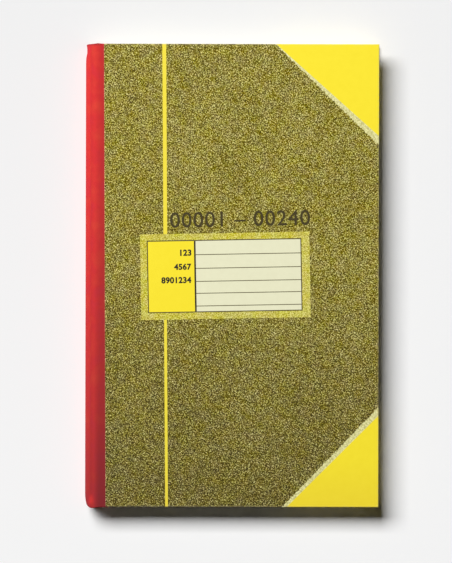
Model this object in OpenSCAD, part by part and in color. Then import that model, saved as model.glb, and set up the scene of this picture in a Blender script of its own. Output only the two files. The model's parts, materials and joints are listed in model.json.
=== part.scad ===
// Register book: a sewn text block in a quarter-cloth case, lying closed on its back cover.
// +X runs from the spine to the fore edge, +Y from tail to head and +Z up.
// The origin is the middle of the footprint on the table.

/* [Case] */
// Width of the closed book, from the spine to the fore edge
cover_w = 209.5; // [180:0.5:240]
// Height of the closed book, from tail to head
cover_h = 330; // [280:1:380]
// Thickness of each cover board
board_t = 2.4; // [1.8:0.1:3.2]
// Distance from the outermost line of the spine to the board's edge
board_set = 6; // [5.5:0.1:7]
// Distance from the outermost line of the spine to where the cover turns flat
ridge_set = 7.6; // [7.2:0.1:9]
// Thickness of the printed cover paper
cover_paper_t = 0.15; // [0.1:0.01:0.2]
// Width of the cover paper's flaps on the inside of the board
turn_in = 15; // [10:1:25]

/* [Cloth] */
// Thickness of the spine cloth
cloth_t = 0.3; // [0.2:0.05:0.4]
// Width of the cloth that shows on each cover, measured from the spine
cloth_show = 13; // [11:0.5:25]
// Width of the cloth that runs on under the cover paper
cloth_lap = 4; // [2:0.5:8]
// Length of the cloth's flaps at head and tail
cloth_turn_in = 15; // [8:1:20]
// Radius of the rolled crease that each cover folds at
crease_r = 0.3; // [0.2:0.05:0.4]
// Gap between the crease and the cloth that stays on the spine
crease_gap = 0.05; // [0.03:0.01:0.1]
// Depth of the crease's middle below the outside of the cover
crease_depth = 1.8; // [1.4:0.1:2.2]

/* [Spine] */
// How far the middle sections stand out past the outermost ones
spine_rise = 3; // [2.5:0.1:4]
// Thickness of the card strip inside the spine cloth
card_t = 0.4; // [0.3:0.05:0.6]
// Angle from the middle of the spine to each edge of the card and the lining
card_angle = 50; // [40:1:52]
// Thickness of the kraft paper on the back of the block
lining_t = 0.2; // [0.1:0.05:0.25]
// Thickness of the gauze
mull_t = 0.15; // [0.1:0.01:0.2]
// Width of each gauze flap on its board
mull_flap_w = 25; // [15:1:40]
// Distance by which the gauze and the lining stop short of the flaps at head and tail
mull_short = 1; // [0.5:0.5:5]

/* [Pages] */
// Number of folded sections
section_count = 10; // [8:1:12]
// Leaves in each section
section_leaves = 12; // [10:2:14]
// Thickness of one leaf
leaf_t = 0.1; // [0.09:0.01:0.12]
// Margin by which the boards stand out past the pages
square_w = 3; // [2:0.5:5]
// Thickness of the endpapers
endpaper_t = 0.12; // [0.1:0.01:0.15]
// Width of the board's margin outside the pastedown
pastedown_margin = 3.5; // [2.5:0.5:6]
// How far the pastedown reaches past the board into the joint
pastedown_reach = 1; // [0.5:0.1:1.2]
// Air between two leaves, which lets one turn on the other
slip = 0.03; // [0.02:0.01:0.05]
// Leaves of the first section that turn
turning_leaves = 3; // [1:1:4]
// Distance from the outermost line of the spine to the flyleaf's bend
bend_set = 8; // [7.8:0.1:9]
// Step from one leaf's bend to the next
bend_step = 0.8; // [0.6:0.1:1.2]
// Gap behind a leaf's bend
bend_gap = 0.3; // [0.2:0.05:0.4]

/* [Sewing] */
// Radius of the sewing thread
thread_r = 0.2; // [0.15:0.01:0.25]
// Clearance around the thread in its holes
thread_gap = 0.05; // [0.03:0.01:0.08]
// Number of places where the thread comes out of each fold
station_count = 6; // [4:1:8]
// Length of the sewn part of each fold
sewn_l = 290; // [200:5:300]

/* [Hidden] */
$fn = 96;
// Overshoot of a cutting shape past the faces that it cuts
cut = 1;

// Levels, measured up from the table
section_t = section_leaves * leaf_t;
block_t = section_count * section_t;
cover_t = cover_paper_t + board_t + cover_paper_t + endpaper_t;
block_z0 = cover_t + slip + endpaper_t + slip;
block_z1 = block_z0 + block_t;
book_t = block_z1 + block_z0;
mid_z = book_t / 2;
board_z1 = book_t - cover_paper_t;
board_z0 = board_z1 - board_t;
flap_z0 = board_z0 - cover_paper_t;
pastedown_z0 = flap_z0 - endpaper_t;

// Rounded spine: the folds lie on an arc, and each layer lies on the one before it
fold_r = section_t / 2;
outer_fold_dz = block_t / 2 - fold_r;
fold_arc = (outer_fold_dz ^ 2 + spine_rise ^ 2) / (2 * spine_rise);
fold_angle = asin(outer_fold_dz / fold_arc);
fold_tip_r = fold_arc + fold_r;
mull_r1 = fold_tip_r + mull_t;
card_r0 = mull_r1 + cloth_t;
card_r1 = card_r0 + card_t;
spine_r = card_r1 + cloth_t;
spine_x = -cover_w / 2 + spine_r;

// Outline of the boards and the pages
fore_x = cover_w / 2;
board_x0 = -fore_x + board_set;
board_x1 = fore_x - cover_paper_t;
board_h = cover_h - 2 * cover_paper_t;
page_h = cover_h - 2 * square_w;
page_x1 = fore_x - square_w;
paper_x0 = -fore_x + cloth_show;
cloth_x1 = paper_x0 + cloth_lap;
mull_h = cover_h - 2 * turn_in - 2 * mull_short;
lining_h = board_h - 2 * cloth_turn_in - 2 * mull_short;

// Hinge line of the front cover, and the cloth that runs from it up to the board
crease_z = book_t - crease_depth;
crease_arc = spine_r + crease_gap + crease_r;
crease_x = spine_x - sqrt(crease_arc ^ 2 - (crease_z - mid_z) ^ 2);
crease_angle = asin((crease_z - mid_z) / crease_arc);
ridge_x = -fore_x + ridge_set;
ridge_z = board_z1 - cloth_t / 2;
wing_angle = atan2(ridge_z - crease_z, ridge_x - crease_x);
ridge_miter = cloth_t / 2 * tan(wing_angle / 2);
wing_half = cloth_t / 2 * [-sin(wing_angle), cos(wing_angle)];
ridge_out = [ridge_x - ridge_miter, board_z1];
ridge_in = [ridge_x + ridge_miter, board_z1 - cloth_t];

// Sewing
thread_bore_r = thread_r + thread_gap;
stub_r = 0.9 * thread_r;
exit_bore_r = 0.9 * thread_bore_r;
kerf_d = 2 * thread_bore_r;
kerf_w = 3 * thread_bore_r;
thread_arc = fold_tip_r - thread_bore_r;
thread_angle = asin(outer_fold_dz / thread_arc);

cloth_red = [0.80, 0.20, 0.20];
print_olive = [0.54, 0.50, 0.25];
board_grey = [0.62, 0.60, 0.56];
page_white = [0.95, 0.94, 0.88];
endpaper_white = [0.96, 0.95, 0.92];
gauze_white = [0.90, 0.88, 0.82];
card_buff = [0.78, 0.70, 0.55];
kraft_brown = [0.66, 0.50, 0.33];
thread_white = [0.93, 0.92, 0.88];

SECTION_NODES = [for (i = [1:section_count]) str("section_", i)];
LEAF_NODES = [for (i = [1:turning_leaves]) str("leaf_", i)];
CASE_NODES = ["board", "cover_paper", "cloth_wing", "pastedown", "mull_flap"];

// Height of a section's middle, and the place of its fold, counted from the front cover
function section_z(i) = block_z1 - (i - 0.5) * section_t;
function fold_x(z) = spine_x - sqrt(fold_arc ^ 2 - (z - mid_z) ^ 2);
page_w = page_x1 - fold_x(section_z(1));

// Bend of a turning leaf, where leaf 0 is the flyleaf
function bend_x(i) = -fore_x + bend_set + i * bend_step;
function leaf_top(i) = block_z1 - (i - 1) * (leaf_t + slip);
function station_y(i) = -sewn_l / 2 + i * sewn_l / (station_count - 1);
function wing_under_z(x) =
    crease_z - cloth_t / 2 / cos(wing_angle) + (x - crease_x) * tan(wing_angle);

// A box between two heights, centred on the book's length
module slab(x0, x1, length, z0, z1) {
    translate([x0, -length / 2, z0])
        cube([x1 - x0, length, z1 - z0]);
}

// A flat outline in X and Z, drawn out along the spine
module along_spine(length) {
    rotate([90, 0, 0])
        linear_extrude(height = length, center = true)
            children();
}

// A strip bent round the spine, with its middle at the given Y
module spine_strip(r0, r1, half_angle, length, y = 0) {
    translate([spine_x, y, mid_z])
        rotate([90, 0, 0])
            rotate([0, 0, 180 - half_angle])
                rotate_extrude(angle = 2 * half_angle)
                    translate([r0, -length / 2])
                        square([r1 - r0, length]);
}

// The back cover is the front cover turned over
module turned_over() {
    translate([0, 0, book_t])
        mirror([0, 0, 1])
            children();
}

// Cloth that wraps round the head and tail of one board, let into the board
module cloth_wrap() {
    difference() {
        slab(ridge_x, cloth_x1, board_h, board_z0, board_z1);
        slab(ridge_x - cut, cloth_x1 + cut, board_h - 2 * cloth_t, board_z0 + cloth_t, board_z1 - cloth_t);
        slab(ridge_x - cut, cloth_x1 + cut, board_h - 2 * cloth_turn_in, board_z0 - cut, board_z0 + 2 * cloth_t);
    }
}

// Cloth from the crease up to the board and along its face, with the rolled crease at its edge
module cloth_wing() {
    crease = [crease_x, crease_z];
    along_spine(board_h)
        polygon([
            crease + wing_half,
            ridge_out,
            [cloth_x1, board_z1],
            [cloth_x1, board_z1 - cloth_t],
            ridge_in,
            crease - wing_half
        ]);
    translate([crease_x, 0, crease_z])
        rotate([90, 0, 0])
            cylinder(r = crease_r, h = board_h, center = true);
    cloth_wrap();
}

// Board, bevelled towards the crease and cut away by the thickness of the cloth
module board() {
    bevel_x0 = board_x0 - cut;
    difference() {
        slab(board_x0, board_x1, board_h, board_z0, board_z1);
        cloth_wrap();
        along_spine(board_h + 2 * cut)
            polygon([
                [bevel_x0, wing_under_z(bevel_x0)],
                ridge_in,
                [ridge_in[0], board_z1 + cut],
                [bevel_x0, board_z1 + cut]
            ]);
    }
}

// Printed sheet: the outer face, the three wrapped edges and the flaps inside
module cover_paper() {
    difference() {
        slab(paper_x0, fore_x, cover_h, flap_z0, book_t);
        slab(paper_x0 - cut, board_x1, board_h, board_z0, board_z1);
        slab(paper_x0 - cut, fore_x - turn_in, cover_h - 2 * turn_in, flap_z0 - cut, board_z0 + cut);
    }
}

// Pastedown, which also fills the step between the cover paper's flaps
module pastedown() {
    slab(
        board_x0 - pastedown_reach, fore_x - pastedown_margin,
        cover_h - 2 * pastedown_margin, pastedown_z0, flap_z0
    );
    slab(board_x0 + mull_flap_w, fore_x - turn_in, cover_h - 2 * turn_in, flap_z0, board_z0);
}

module mull_flap() {
    slab(board_x0, board_x0 + mull_flap_w, mull_h, flap_z0, board_z0);
}

// The red cloth that stays on the spine, folded in over the card at head and tail
module spine_cloth() {
    past_crease = crease_angle + 5;
    color(cloth_red)
        difference() {
            spine_strip(card_r0 - cloth_t, spine_r, crease_angle, board_h);
            spine_strip(card_r0, card_r1, past_crease, board_h - 2 * cloth_t);
            spine_strip(card_r0 - cloth_t - cut, card_r1, past_crease, board_h - 2 * cloth_turn_in);
        }
}

module spine_card() {
    color(card_buff)
        spine_strip(card_r0, card_r1, card_angle, board_h - 2 * cloth_t);
}

module spine_lining() {
    color(kraft_brown)
        spine_strip(mull_r1, mull_r1 + lining_t, card_angle, lining_h);
}

module mull() {
    color(gauze_white)
        spine_strip(fold_tip_r, mull_r1, fold_angle, mull_h);
}

// Everything in one section that the thread passes through: the fold's eye and its exits
module thread_way(z, eye_r, exit_r) {
    eye_x = fold_x(z) + thread_bore_r;
    arc_x = spine_x - sqrt(thread_arc ^ 2 - (z - mid_z) ^ 2);
    translate([eye_x, 0, z])
        rotate([90, 0, 0])
            cylinder(r = eye_r, h = sewn_l + 2 * eye_r, center = true);
    for (i = [0:station_count - 1])
        translate([arc_x, station_y(i), z])
            rotate([0, 90, 0])
                cylinder(r = exit_r, h = eye_x - arc_x);
}

// One thread: along each fold, out at every station and up the spine to the next section
module sewing_thread() {
    color(thread_white) {
        for (i = [1:section_count])
            thread_way(section_z(i), thread_r, stub_r);
        for (i = [0:station_count - 1])
            translate([spine_x, station_y(i), mid_z])
                rotate([90, 0, 0])
                    rotate([0, 0, 180 - thread_angle])
                        rotate_extrude(angle = 2 * thread_angle)
                            translate([thread_arc, 0])
                                circle(r = thread_r);
    }
}

// The hollow of the fore edge: rounding the spine moves each leaf by as much as its fold
module fore_hollow() {
    translate([spine_x + page_w, 0, mid_z])
        rotate([90, 0, 0])
            cylinder(r = fold_arc, h = page_h + 2 * cut, center = true);
}

// A folded section with the thread's eye, its exits and the sawn notches across the fold
module section(i) {
    z = section_z(i);
    x = fold_x(z);
    color(page_white)
        difference() {
            union() {
                slab(x, page_x1, page_h, z - fold_r, z + fold_r);
                translate([x, 0, z])
                    rotate([90, 0, 0])
                        cylinder(r = fold_r, h = page_h, center = true);
            }
            fore_hollow();
            thread_way(z, thread_bore_r, exit_bore_r);
            for (j = [0:station_count - 1])
                spine_strip(fold_tip_r - kerf_d, fold_tip_r + cut, fold_angle + 5, kerf_w, station_y(j));
            if (i == 1)
                turning_room();
        }
}

// Room in the first section for the leaves that turn
module turning_room() {
    for (i = [1:turning_leaves])
        slab(
            bend_x(i) - leaf_t / 2 - bend_gap, page_x1 + cut,
            page_h + 2 * cut, leaf_top(i) - leaf_t - slip, block_z1 + cut
        );
}

// A leaf with a rounded edge at its bend
module turning_leaf(x, top, thickness) {
    slab(x, page_x1, page_h, top - thickness, top);
    translate([x, 0, top - thickness / 2])
        rotate([90, 0, 0])
            cylinder(r = thickness / 2, h = page_h, center = true);
}

module front_endpaper_tip() {
    tip_x1 = bend_x(0) - endpaper_t / 2 - bend_gap;
    color(endpaper_white)
        slab(fold_x(section_z(1)), tip_x1, page_h, block_z1, block_z1 + slip + endpaper_t);
}

module front_flyleaf() {
    color(endpaper_white)
        turning_leaf(bend_x(0), block_z1 + slip + endpaper_t, endpaper_t);
}

module back_flyleaf() {
    color(endpaper_white)
        slab(fold_x(section_z(section_count)), page_x1, page_h, block_z0 - endpaper_t, block_z0);
}

module leaf(i) {
    color(page_white)
        turning_leaf(bend_x(i), leaf_top(i), leaf_t);
}

module front_board() { color(board_grey) board(); }
module front_cover_paper() { color(print_olive) cover_paper(); }
module front_cloth_wing() { color(cloth_red) cloth_wing(); }
module front_pastedown() { color(endpaper_white) pastedown(); }
module front_mull_flap() { color(gauze_white) mull_flap(); }
module back_board() { color(board_grey) turned_over() board(); }
module back_cover_paper() { color(print_olive) turned_over() cover_paper(); }
module back_cloth_wing() { color(cloth_red) turned_over() cloth_wing(); }
module back_pastedown() { color(endpaper_white) turned_over() pastedown(); }
module back_mull_flap() { color(gauze_white) turned_over() mull_flap(); }

front_board();
front_cover_paper();
front_cloth_wing();
front_pastedown();
front_mull_flap();
back_board();
back_cover_paper();
back_cloth_wing();
back_pastedown();
back_mull_flap();
spine_cloth();
spine_card();
spine_lining();
mull();
sewing_thread();
front_endpaper_tip();
front_flyleaf();
back_flyleaf();
for (i = [1:turning_leaves])
    leaf(i);
for (i = [1:section_count])
    section(i);
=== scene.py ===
# %% [markdown]
# # A register book in cloth and printed paper
# The object is a hard-cover register lying closed on a table: ten sewn sections of ruled pages between two boards, red
# book cloth over a rounded spine, and a printed paper on each board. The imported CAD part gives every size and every
# hinge, so this lesson only adds looks. It starts by loading that part as a fixed frame and keeping its box.

# %% Frame
import json
import math

import bmesh
import bpy
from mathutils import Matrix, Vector


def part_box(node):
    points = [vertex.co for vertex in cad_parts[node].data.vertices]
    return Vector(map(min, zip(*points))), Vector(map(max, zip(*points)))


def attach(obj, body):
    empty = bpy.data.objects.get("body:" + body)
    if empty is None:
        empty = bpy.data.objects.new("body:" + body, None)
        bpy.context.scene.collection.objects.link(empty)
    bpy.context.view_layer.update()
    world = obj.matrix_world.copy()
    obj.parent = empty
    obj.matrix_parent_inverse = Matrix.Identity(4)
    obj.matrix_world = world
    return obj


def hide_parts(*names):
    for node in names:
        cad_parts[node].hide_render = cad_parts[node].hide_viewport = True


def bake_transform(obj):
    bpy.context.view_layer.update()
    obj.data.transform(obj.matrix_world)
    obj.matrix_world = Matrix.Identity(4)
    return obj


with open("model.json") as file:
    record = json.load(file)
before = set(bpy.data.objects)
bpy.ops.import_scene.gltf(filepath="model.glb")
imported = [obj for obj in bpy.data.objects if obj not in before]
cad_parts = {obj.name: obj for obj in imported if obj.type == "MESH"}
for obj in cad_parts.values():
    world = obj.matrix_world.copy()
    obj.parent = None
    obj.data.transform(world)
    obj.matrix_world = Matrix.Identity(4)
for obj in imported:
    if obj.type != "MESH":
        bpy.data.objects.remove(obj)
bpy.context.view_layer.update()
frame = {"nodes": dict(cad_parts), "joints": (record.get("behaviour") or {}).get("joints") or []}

# %% [markdown]
# ## Sizes
# Blender works in metres, but a book is easier to think about in millimetres, so MM turns one into the other. What the
# frame knows is read from it: the boards, the cover paper and the hinge lines. The radius of the rounded spine follows
# from the crease, because the crease lies just outside the arc of the spine. Two places count as one if they are NEAR.

# %% Sizes from the frame
MM = 0.001
NEAR = 0.01 * MM
CLOTH_T = 0.3 * MM
CREASE_R = 0.3 * MM
CREASE_GAP = 0.05 * MM

paper_low, paper_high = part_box("front_cover_paper")
board_low, board_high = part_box("front_board")
spine_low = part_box("spine_cloth")[0]
hinge = {joint["name"]: Vector(joint["pos_m"]) for joint in frame["joints"]}
crease = hinge["front_cover_hinge"]

book_t = paper_high.z
mid_z = book_t / 2
crease_out = crease.x - spine_low.x
crease_up = crease.z - mid_z
crease_off = CREASE_R + CREASE_GAP
spine_r = (crease_out ** 2 + crease_up ** 2 - crease_off ** 2) / (2 * (crease_out + crease_off))
spine_x = spine_low.x + spine_r
crease_angle = math.atan2(crease_up, spine_x - crease.x)
print(f"spine radius {spine_r / MM:.2f} mm, crease at {math.degrees(crease_angle):.1f} degrees")

# %% [markdown]
# ## Small helpers
# Colours are written as they are seen, as sRGB hex, and turned to the linear values that shaders use. One function adds
# a node, for materials and for Geometry Nodes alike: an input is either a plain value or another node's output. Where a
# node has several sockets of one name, as Mix has for numbers and for colours, a number picks the right one.

# %% Helpers for nodes
def linear(colour):
    """An sRGB hex colour as the linear red, green, blue and alpha that shaders use."""
    channels = [int(colour[i:i + 2], 16) / 255 for i in (1, 3, 5)]
    return [c / 12.92 if c <= 0.04045 else ((c + 0.055) / 1.055) ** 2.4 for c in channels] + [1]


def add(tree, kind, inputs=None, **settings):
    """Adds a node: settings are its own properties, inputs its sockets by name or number."""
    node = tree.nodes.new(kind)
    for name, value in settings.items():
        setattr(node, name, value)
    for socket, value in (inputs or {}).items():
        if isinstance(value, bpy.types.NodeSocket):
            tree.links.new(value, node.inputs[socket])
        else:
            node.inputs[socket].default_value = value
    return node


def new_material(name):
    material = bpy.data.materials.new(name)
    material.use_nodes = True
    material.node_tree.nodes.clear()
    return material, material.node_tree


# %% [markdown]
# A mesh with modifiers, or a curve, is turned into a plain mesh before it becomes a piece, so that every piece is a
# plain mesh. A piece is then attached to the body it moves with, and the CAD nodes that it stands for are hidden.

# %% Helpers for pieces
def plain_mesh(name, data, modifiers):
    """The plain mesh that a mesh or a curve becomes with some modifiers on it."""
    carrier = bpy.data.objects.new(name, data)
    bpy.context.scene.collection.objects.link(carrier)
    for kind, settings in modifiers:
        modifier = carrier.modifiers.new(kind.title(), kind)
        for key, value in settings.items():
            if key.startswith("Socket"):
                modifier[key] = value
            else:
                setattr(modifier, key, value)
    seen = carrier.evaluated_get(bpy.context.evaluated_depsgraph_get())
    result = bpy.data.meshes.new_from_object(seen)
    result.name = name
    bpy.data.objects.remove(carrier)
    return result


def new_piece(name, mesh, materials=()):
    piece = bpy.data.objects.new(name, mesh)
    bpy.context.scene.collection.objects.link(piece)
    for material in materials:
        mesh.materials.append(material)
    print(f"{name}: {len(mesh.polygons)} faces")
    return piece


# %% [markdown]
# ## Camera, floor and light
# The photograph looks straight down from far enough away that the sides of the book don't show, with the book an eighth
# of a degree askew. The camera stands two metres up and its lens follows from the scale in the picture: 0.7126 mm for
# one pixel on the cover.

# %% Camera
IMAGE_W, IMAGE_H = 452, 563
MM_PER_PIXEL = 0.7126
BOOK_CENTRE = (231.9, 275.4)
BOOK_TURN = math.radians(0.13)
CAMERA_HEIGHT = 2.0
SENSOR_H = 24

camera_data = bpy.data.cameras.new("Camera")
camera_data.sensor_fit = "VERTICAL"
camera_data.sensor_height = SENSOR_H
camera_data.lens = SENSOR_H * (CAMERA_HEIGHT - book_t) / (IMAGE_H * MM_PER_PIXEL * MM)
camera = bpy.data.objects.new("Camera", camera_data)
camera.location = (
    (IMAGE_W / 2 - BOOK_CENTRE[0]) * MM_PER_PIXEL * MM,
    (BOOK_CENTRE[1] - IMAGE_H / 2) * MM_PER_PIXEL * MM,
    CAMERA_HEIGHT,
)
camera.rotation_euler.z = BOOK_TURN
bpy.context.scene.collection.objects.link(camera)
bpy.context.scene.camera = camera
print(f"lens {camera_data.lens:.1f} mm")

# %% [markdown]
# The shadow is narrow and soft at the right of the book, and deeper below its tail. So the only lamp is a broad one, as
# a skylight is, above the head and to the left. Its place and size follow from the shadow: below the tail, the floor is
# fully dark for about 7 mm and half dark at about 13 mm, beside an edge that is 18 mm high. The lamp looks straight
# down, and its power follows from the level of light that it should give on the cover, where 1 shows a colour as it is
# written.

# %% Light
LAMP_PLACE = (-2.85, 3.1, 4.0)
LAMP_SIZE = (4.7, 2.8)
LAMP_LEVEL = 0.94

lamp = bpy.data.lights.new("Skylight", "AREA")
lamp.shape = "RECTANGLE"
lamp.size, lamp.size_y = LAMP_SIZE
lamp_distance = Vector(LAMP_PLACE).length
lamp_slant = LAMP_PLACE[2] / lamp_distance
lamp.energy = LAMP_LEVEL * math.pi ** 2 * lamp_distance ** 2 / lamp_slant ** 2
skylight = bpy.data.objects.new("Skylight", lamp)
skylight.location = LAMP_PLACE
bpy.context.scene.collection.objects.link(skylight)
print(f"Skylight: {lamp.energy:.0f} W at {lamp_distance:.2f} m")

# %% [markdown]
# The world shows as white wherever the camera or a glossy surface sees past the floor, but it adds hardly any light of
# its own, so that the shadow stays dark. Light Path tells the two apart.

# %% World
AMBIENT = 0.004

world = bpy.data.worlds.new("Studio")
world.use_nodes = True
tree = world.node_tree
tree.nodes.clear()
ray = add(tree, "ShaderNodeLightPath").outputs
seen = add(tree, "ShaderNodeMath", {0: ray["Is Camera Ray"], 1: ray["Is Glossy Ray"]}, operation="MAXIMUM")
seen_at_all = add(tree, "ShaderNodeMath", {0: seen.outputs[0], 1: ray["Is Transmission Ray"]}, operation="MAXIMUM")
strength = add(tree, "ShaderNodeMapRange", {"Value": seen_at_all.outputs[0], "To Min": AMBIENT, "To Max": 1})
sky = add(tree, "ShaderNodeBackground", {"Color": (1, 1, 1, 1), "Strength": strength.outputs[0]})
add(tree, "ShaderNodeOutputWorld", {"Surface": sky.outputs[0]})
bpy.context.scene.world = world
bpy.context.scene.view_settings.view_transform = "Standard"
print(f"the world lights the book at {AMBIENT} of full white")

# %% [markdown]
# The floor is a pale matt sheet, which gives the eye an even ground and a soft shadow without gloss. Light falls off
# with the distance from the lamp, towards the tail and the fore edge, and the floor's colour rises a little in the same
# direction. So it looks evenly pale in the picture and still takes the book's shadow.

# %% Floor
FLOOR_DROP = 0.05 * MM
FLOOR_REACH = 4
FLOOR_NEAR, FLOOR_FAR = "#e4e4e4", "#ffffff"
FADE_SLANT, FADE_REACH = 0.6, 0.3

floor_material, tree = new_material("Pale studio floor")
place = add(tree, "ShaderNodeTexCoord")
along = add(tree, "ShaderNodeSeparateXYZ", {0: place.outputs["Object"]})
aside = add(tree, "ShaderNodeMath", {0: along.outputs["X"], 1: FADE_SLANT}, operation="MULTIPLY")
away = add(tree, "ShaderNodeMath", {0: aside.outputs[0], 1: along.outputs["Y"]}, operation="SUBTRACT")
fade = add(tree, "ShaderNodeMapRange", {"Value": away.outputs[0], "From Min": -FADE_REACH, "From Max": FADE_REACH})
tone = add(tree, "ShaderNodeMix", {0: fade.outputs[0], 6: linear(FLOOR_NEAR), 7: linear(FLOOR_FAR)}, data_type="RGBA")
paint = add(tree, "ShaderNodeBsdfPrincipled", {"Base Color": tone.outputs[2], "Roughness": 0.9,
            "Specular IOR Level": 0.0})
add(tree, "ShaderNodeOutputMaterial", {"Surface": paint.outputs[0]})

floor_mesh = bpy.data.meshes.new("Floor")
corners = [(-1, -1), (1, -1), (1, 1), (-1, 1)]
floor_mesh.from_pydata([(x * FLOOR_REACH, y * FLOOR_REACH, -FLOOR_DROP) for x, y in corners], [], [(0, 1, 2, 3)])
floor_mesh.materials.append(floor_material)
floor = bpy.data.objects.new("Floor", floor_mesh)
bpy.context.scene.collection.objects.link(floor)
print(f"floor of {2 * FLOOR_REACH} m, {FLOOR_DROP / MM:.2f} mm below the book")

# %% [markdown]
# ## Printed paper
# Cover paper is a thin coated sheet, printed by offset and slightly satin. Three marks of use and of printing are made
# first, because several prints share them. One is wear: along the three folded edges the coating cracks and rubs off,
# and pale paper fibres show. It could be painted by hand, but a rule is enough: the distance to the nearest edge gives
# a narrow rim, and a noise breaks that rim up into patches.

# %% Worn edges of the covers
SCUFF_W = 1.3 * MM
SCUFF_GRAIN = 2.2 * MM
SCUFF_FROM, SCUFF_TO = 0.35, 0.75
SCUFF_SHARE = 0.55
SCUFF = "#c4bb9a"


def worn_edges(tree, place, colour):
    """Mixes the bare fibres of scuffed paper into a colour, in patches along the three folded edges of a cover."""
    at = add(tree, "ShaderNodeSeparateXYZ", {0: place})
    off_middle = add(tree, "ShaderNodeMath", {0: at.outputs["Y"]}, operation="ABSOLUTE")
    from_end = add(tree, "ShaderNodeMath", {0: paper_high.y, 1: off_middle.outputs[0]}, operation="SUBTRACT")
    from_fore = add(tree, "ShaderNodeMath", {0: paper_high.x, 1: at.outputs["X"]}, operation="SUBTRACT")
    nearest = add(tree, "ShaderNodeMath", {0: from_end.outputs[0], 1: from_fore.outputs[0]}, operation="MINIMUM")
    near = add(tree, "ShaderNodeMapRange", {"Value": nearest.outputs[0], "From Max": SCUFF_W, "To Min": 1, "To Max": 0})
    patches = add(tree, "ShaderNodeTexNoise", {"Vector": place, "Scale": 1 / SCUFF_GRAIN, "Detail": 4})
    rubbed = add(tree, "ShaderNodeMapRange", {"Value": patches.outputs["Fac"], "From Min": SCUFF_FROM,
                 "From Max": SCUFF_TO, "To Max": SCUFF_SHARE})
    share = add(tree, "ShaderNodeMath", {0: near.outputs[0], 1: rubbed.outputs[0]}, operation="MULTIPLY")
    return add(tree, "ShaderNodeMix", {0: share.outputs[0], 6: colour, 7: linear(SCUFF)}, data_type="RGBA").outputs[2]


print(f"scuffed rim {SCUFF_W / MM:.1f} mm wide")

# %% [markdown]
# The next is browning. Hands and the table have warmed the yellow inks over the last few centimetres at the tail, so a
# brown is mixed in there, in a share that rises evenly to the edge.

# %% Browned tail of a cover
BROWNED_W = 35 * MM
BROWNED_SHARE = 0.17
BROWNED = "#c8963c"


def browned_tail(tree, place, colour):
    """Warms a colour towards the tail of a cover."""
    at = add(tree, "ShaderNodeSeparateXYZ", {0: place})
    share = add(tree, "ShaderNodeMapRange", {"Value": at.outputs["Y"], "From Min": paper_low.y,
                "From Max": paper_low.y + BROWNED_W, "To Min": BROWNED_SHARE, "To Max": 0})
    return add(tree, "ShaderNodeMix", {0: share.outputs[0], 6: colour, 7: linear(BROWNED)}, data_type="RGBA").outputs[2]


print(f"browned over {BROWNED_W / MM:.0f} mm at the tail")

# %% [markdown]
# The third is the pale band beside each yellow corner. Its edge against the speckle is ragged, as if it were torn, and
# a cut in the mesh would be far too straight. So the mesh is cut a little outside the band, an attribute says how deep
# each point lies inside the band's edge, and a noise moves that edge to and fro by up to half a millimetre. The same
# noise gives the band its fibres.

# %% Ragged edge of a pale band
BAND_PALE, BAND_DEEP = "#f6f2b4", "#b4ad66"
BAND_GRAIN = 1.1 * MM
BAND_RAG = 2.2 * MM
BAND_SOFT = 0.1 * MM
BAND_MARGIN = 0.7 * MM
FIBRE_FROM, FIBRE_TO = 0.25, 0.75


def pale_band(tree, place, colour):
    """Lays a pale ink over a colour, up to a ragged edge."""
    depth = add(tree, "ShaderNodeAttribute", attribute_name="in_band")
    rag = add(tree, "ShaderNodeTexNoise", {"Vector": place, "Scale": 1 / BAND_GRAIN, "Detail": 2})
    off = add(tree, "ShaderNodeMath", {0: rag.outputs["Fac"], 1: BAND_RAG, 2: -BAND_RAG / 2}, operation="MULTIPLY_ADD")
    ragged = add(tree, "ShaderNodeMath", {0: depth.outputs["Fac"], 1: off.outputs[0]})
    share = add(tree, "ShaderNodeMapRange", {"Value": ragged.outputs[0], "From Min": -BAND_SOFT, "From Max": BAND_SOFT})
    fibres = add(tree, "ShaderNodeMapRange", {"Value": rag.outputs["Fac"], "From Min": FIBRE_FROM,
                 "From Max": FIBRE_TO})
    pale = add(tree, "ShaderNodeMix", {0: fibres.outputs[0], 6: linear(BAND_DEEP), 7: linear(BAND_PALE)},
               data_type="RGBA")
    return add(tree, "ShaderNodeMix", {0: share.outputs[0], 6: colour, 7: pale.outputs[2]}, data_type="RGBA").outputs[2]


print(f"band cut {BAND_MARGIN / MM:.1f} mm outside its edge")

# %% [markdown]
# The main print is a dense speckle of black, olive and yellow flecks, each a little under a millimetre, about one pixel
# of the photograph. Flecks drawn one by one would be thousands of faces. A noise texture gives flecks of irregular
# shape at once, and a colour ramp makes inks of its levels. The noise is turned away from the book's edges and lowered
# a little, because in line with its own lattice it shows rows. Broad weak clouds keep a large area from looking even,
# and from EVEN_TO down to the tail the print is painted darker, as painted shade where the light falls off.

# %% Flecks of ink
FLECK = 0.85 * MM
FLECK_TURN, FLECK_DROP = 0.6, -0.3 * MM
FLECK_DETAIL, FLECK_ROUGHNESS = 3, 0.7
CLOUD, CLOUD_SPAN = 30 * MM, 0.03
EVEN_TO = 20 * MM


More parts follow.
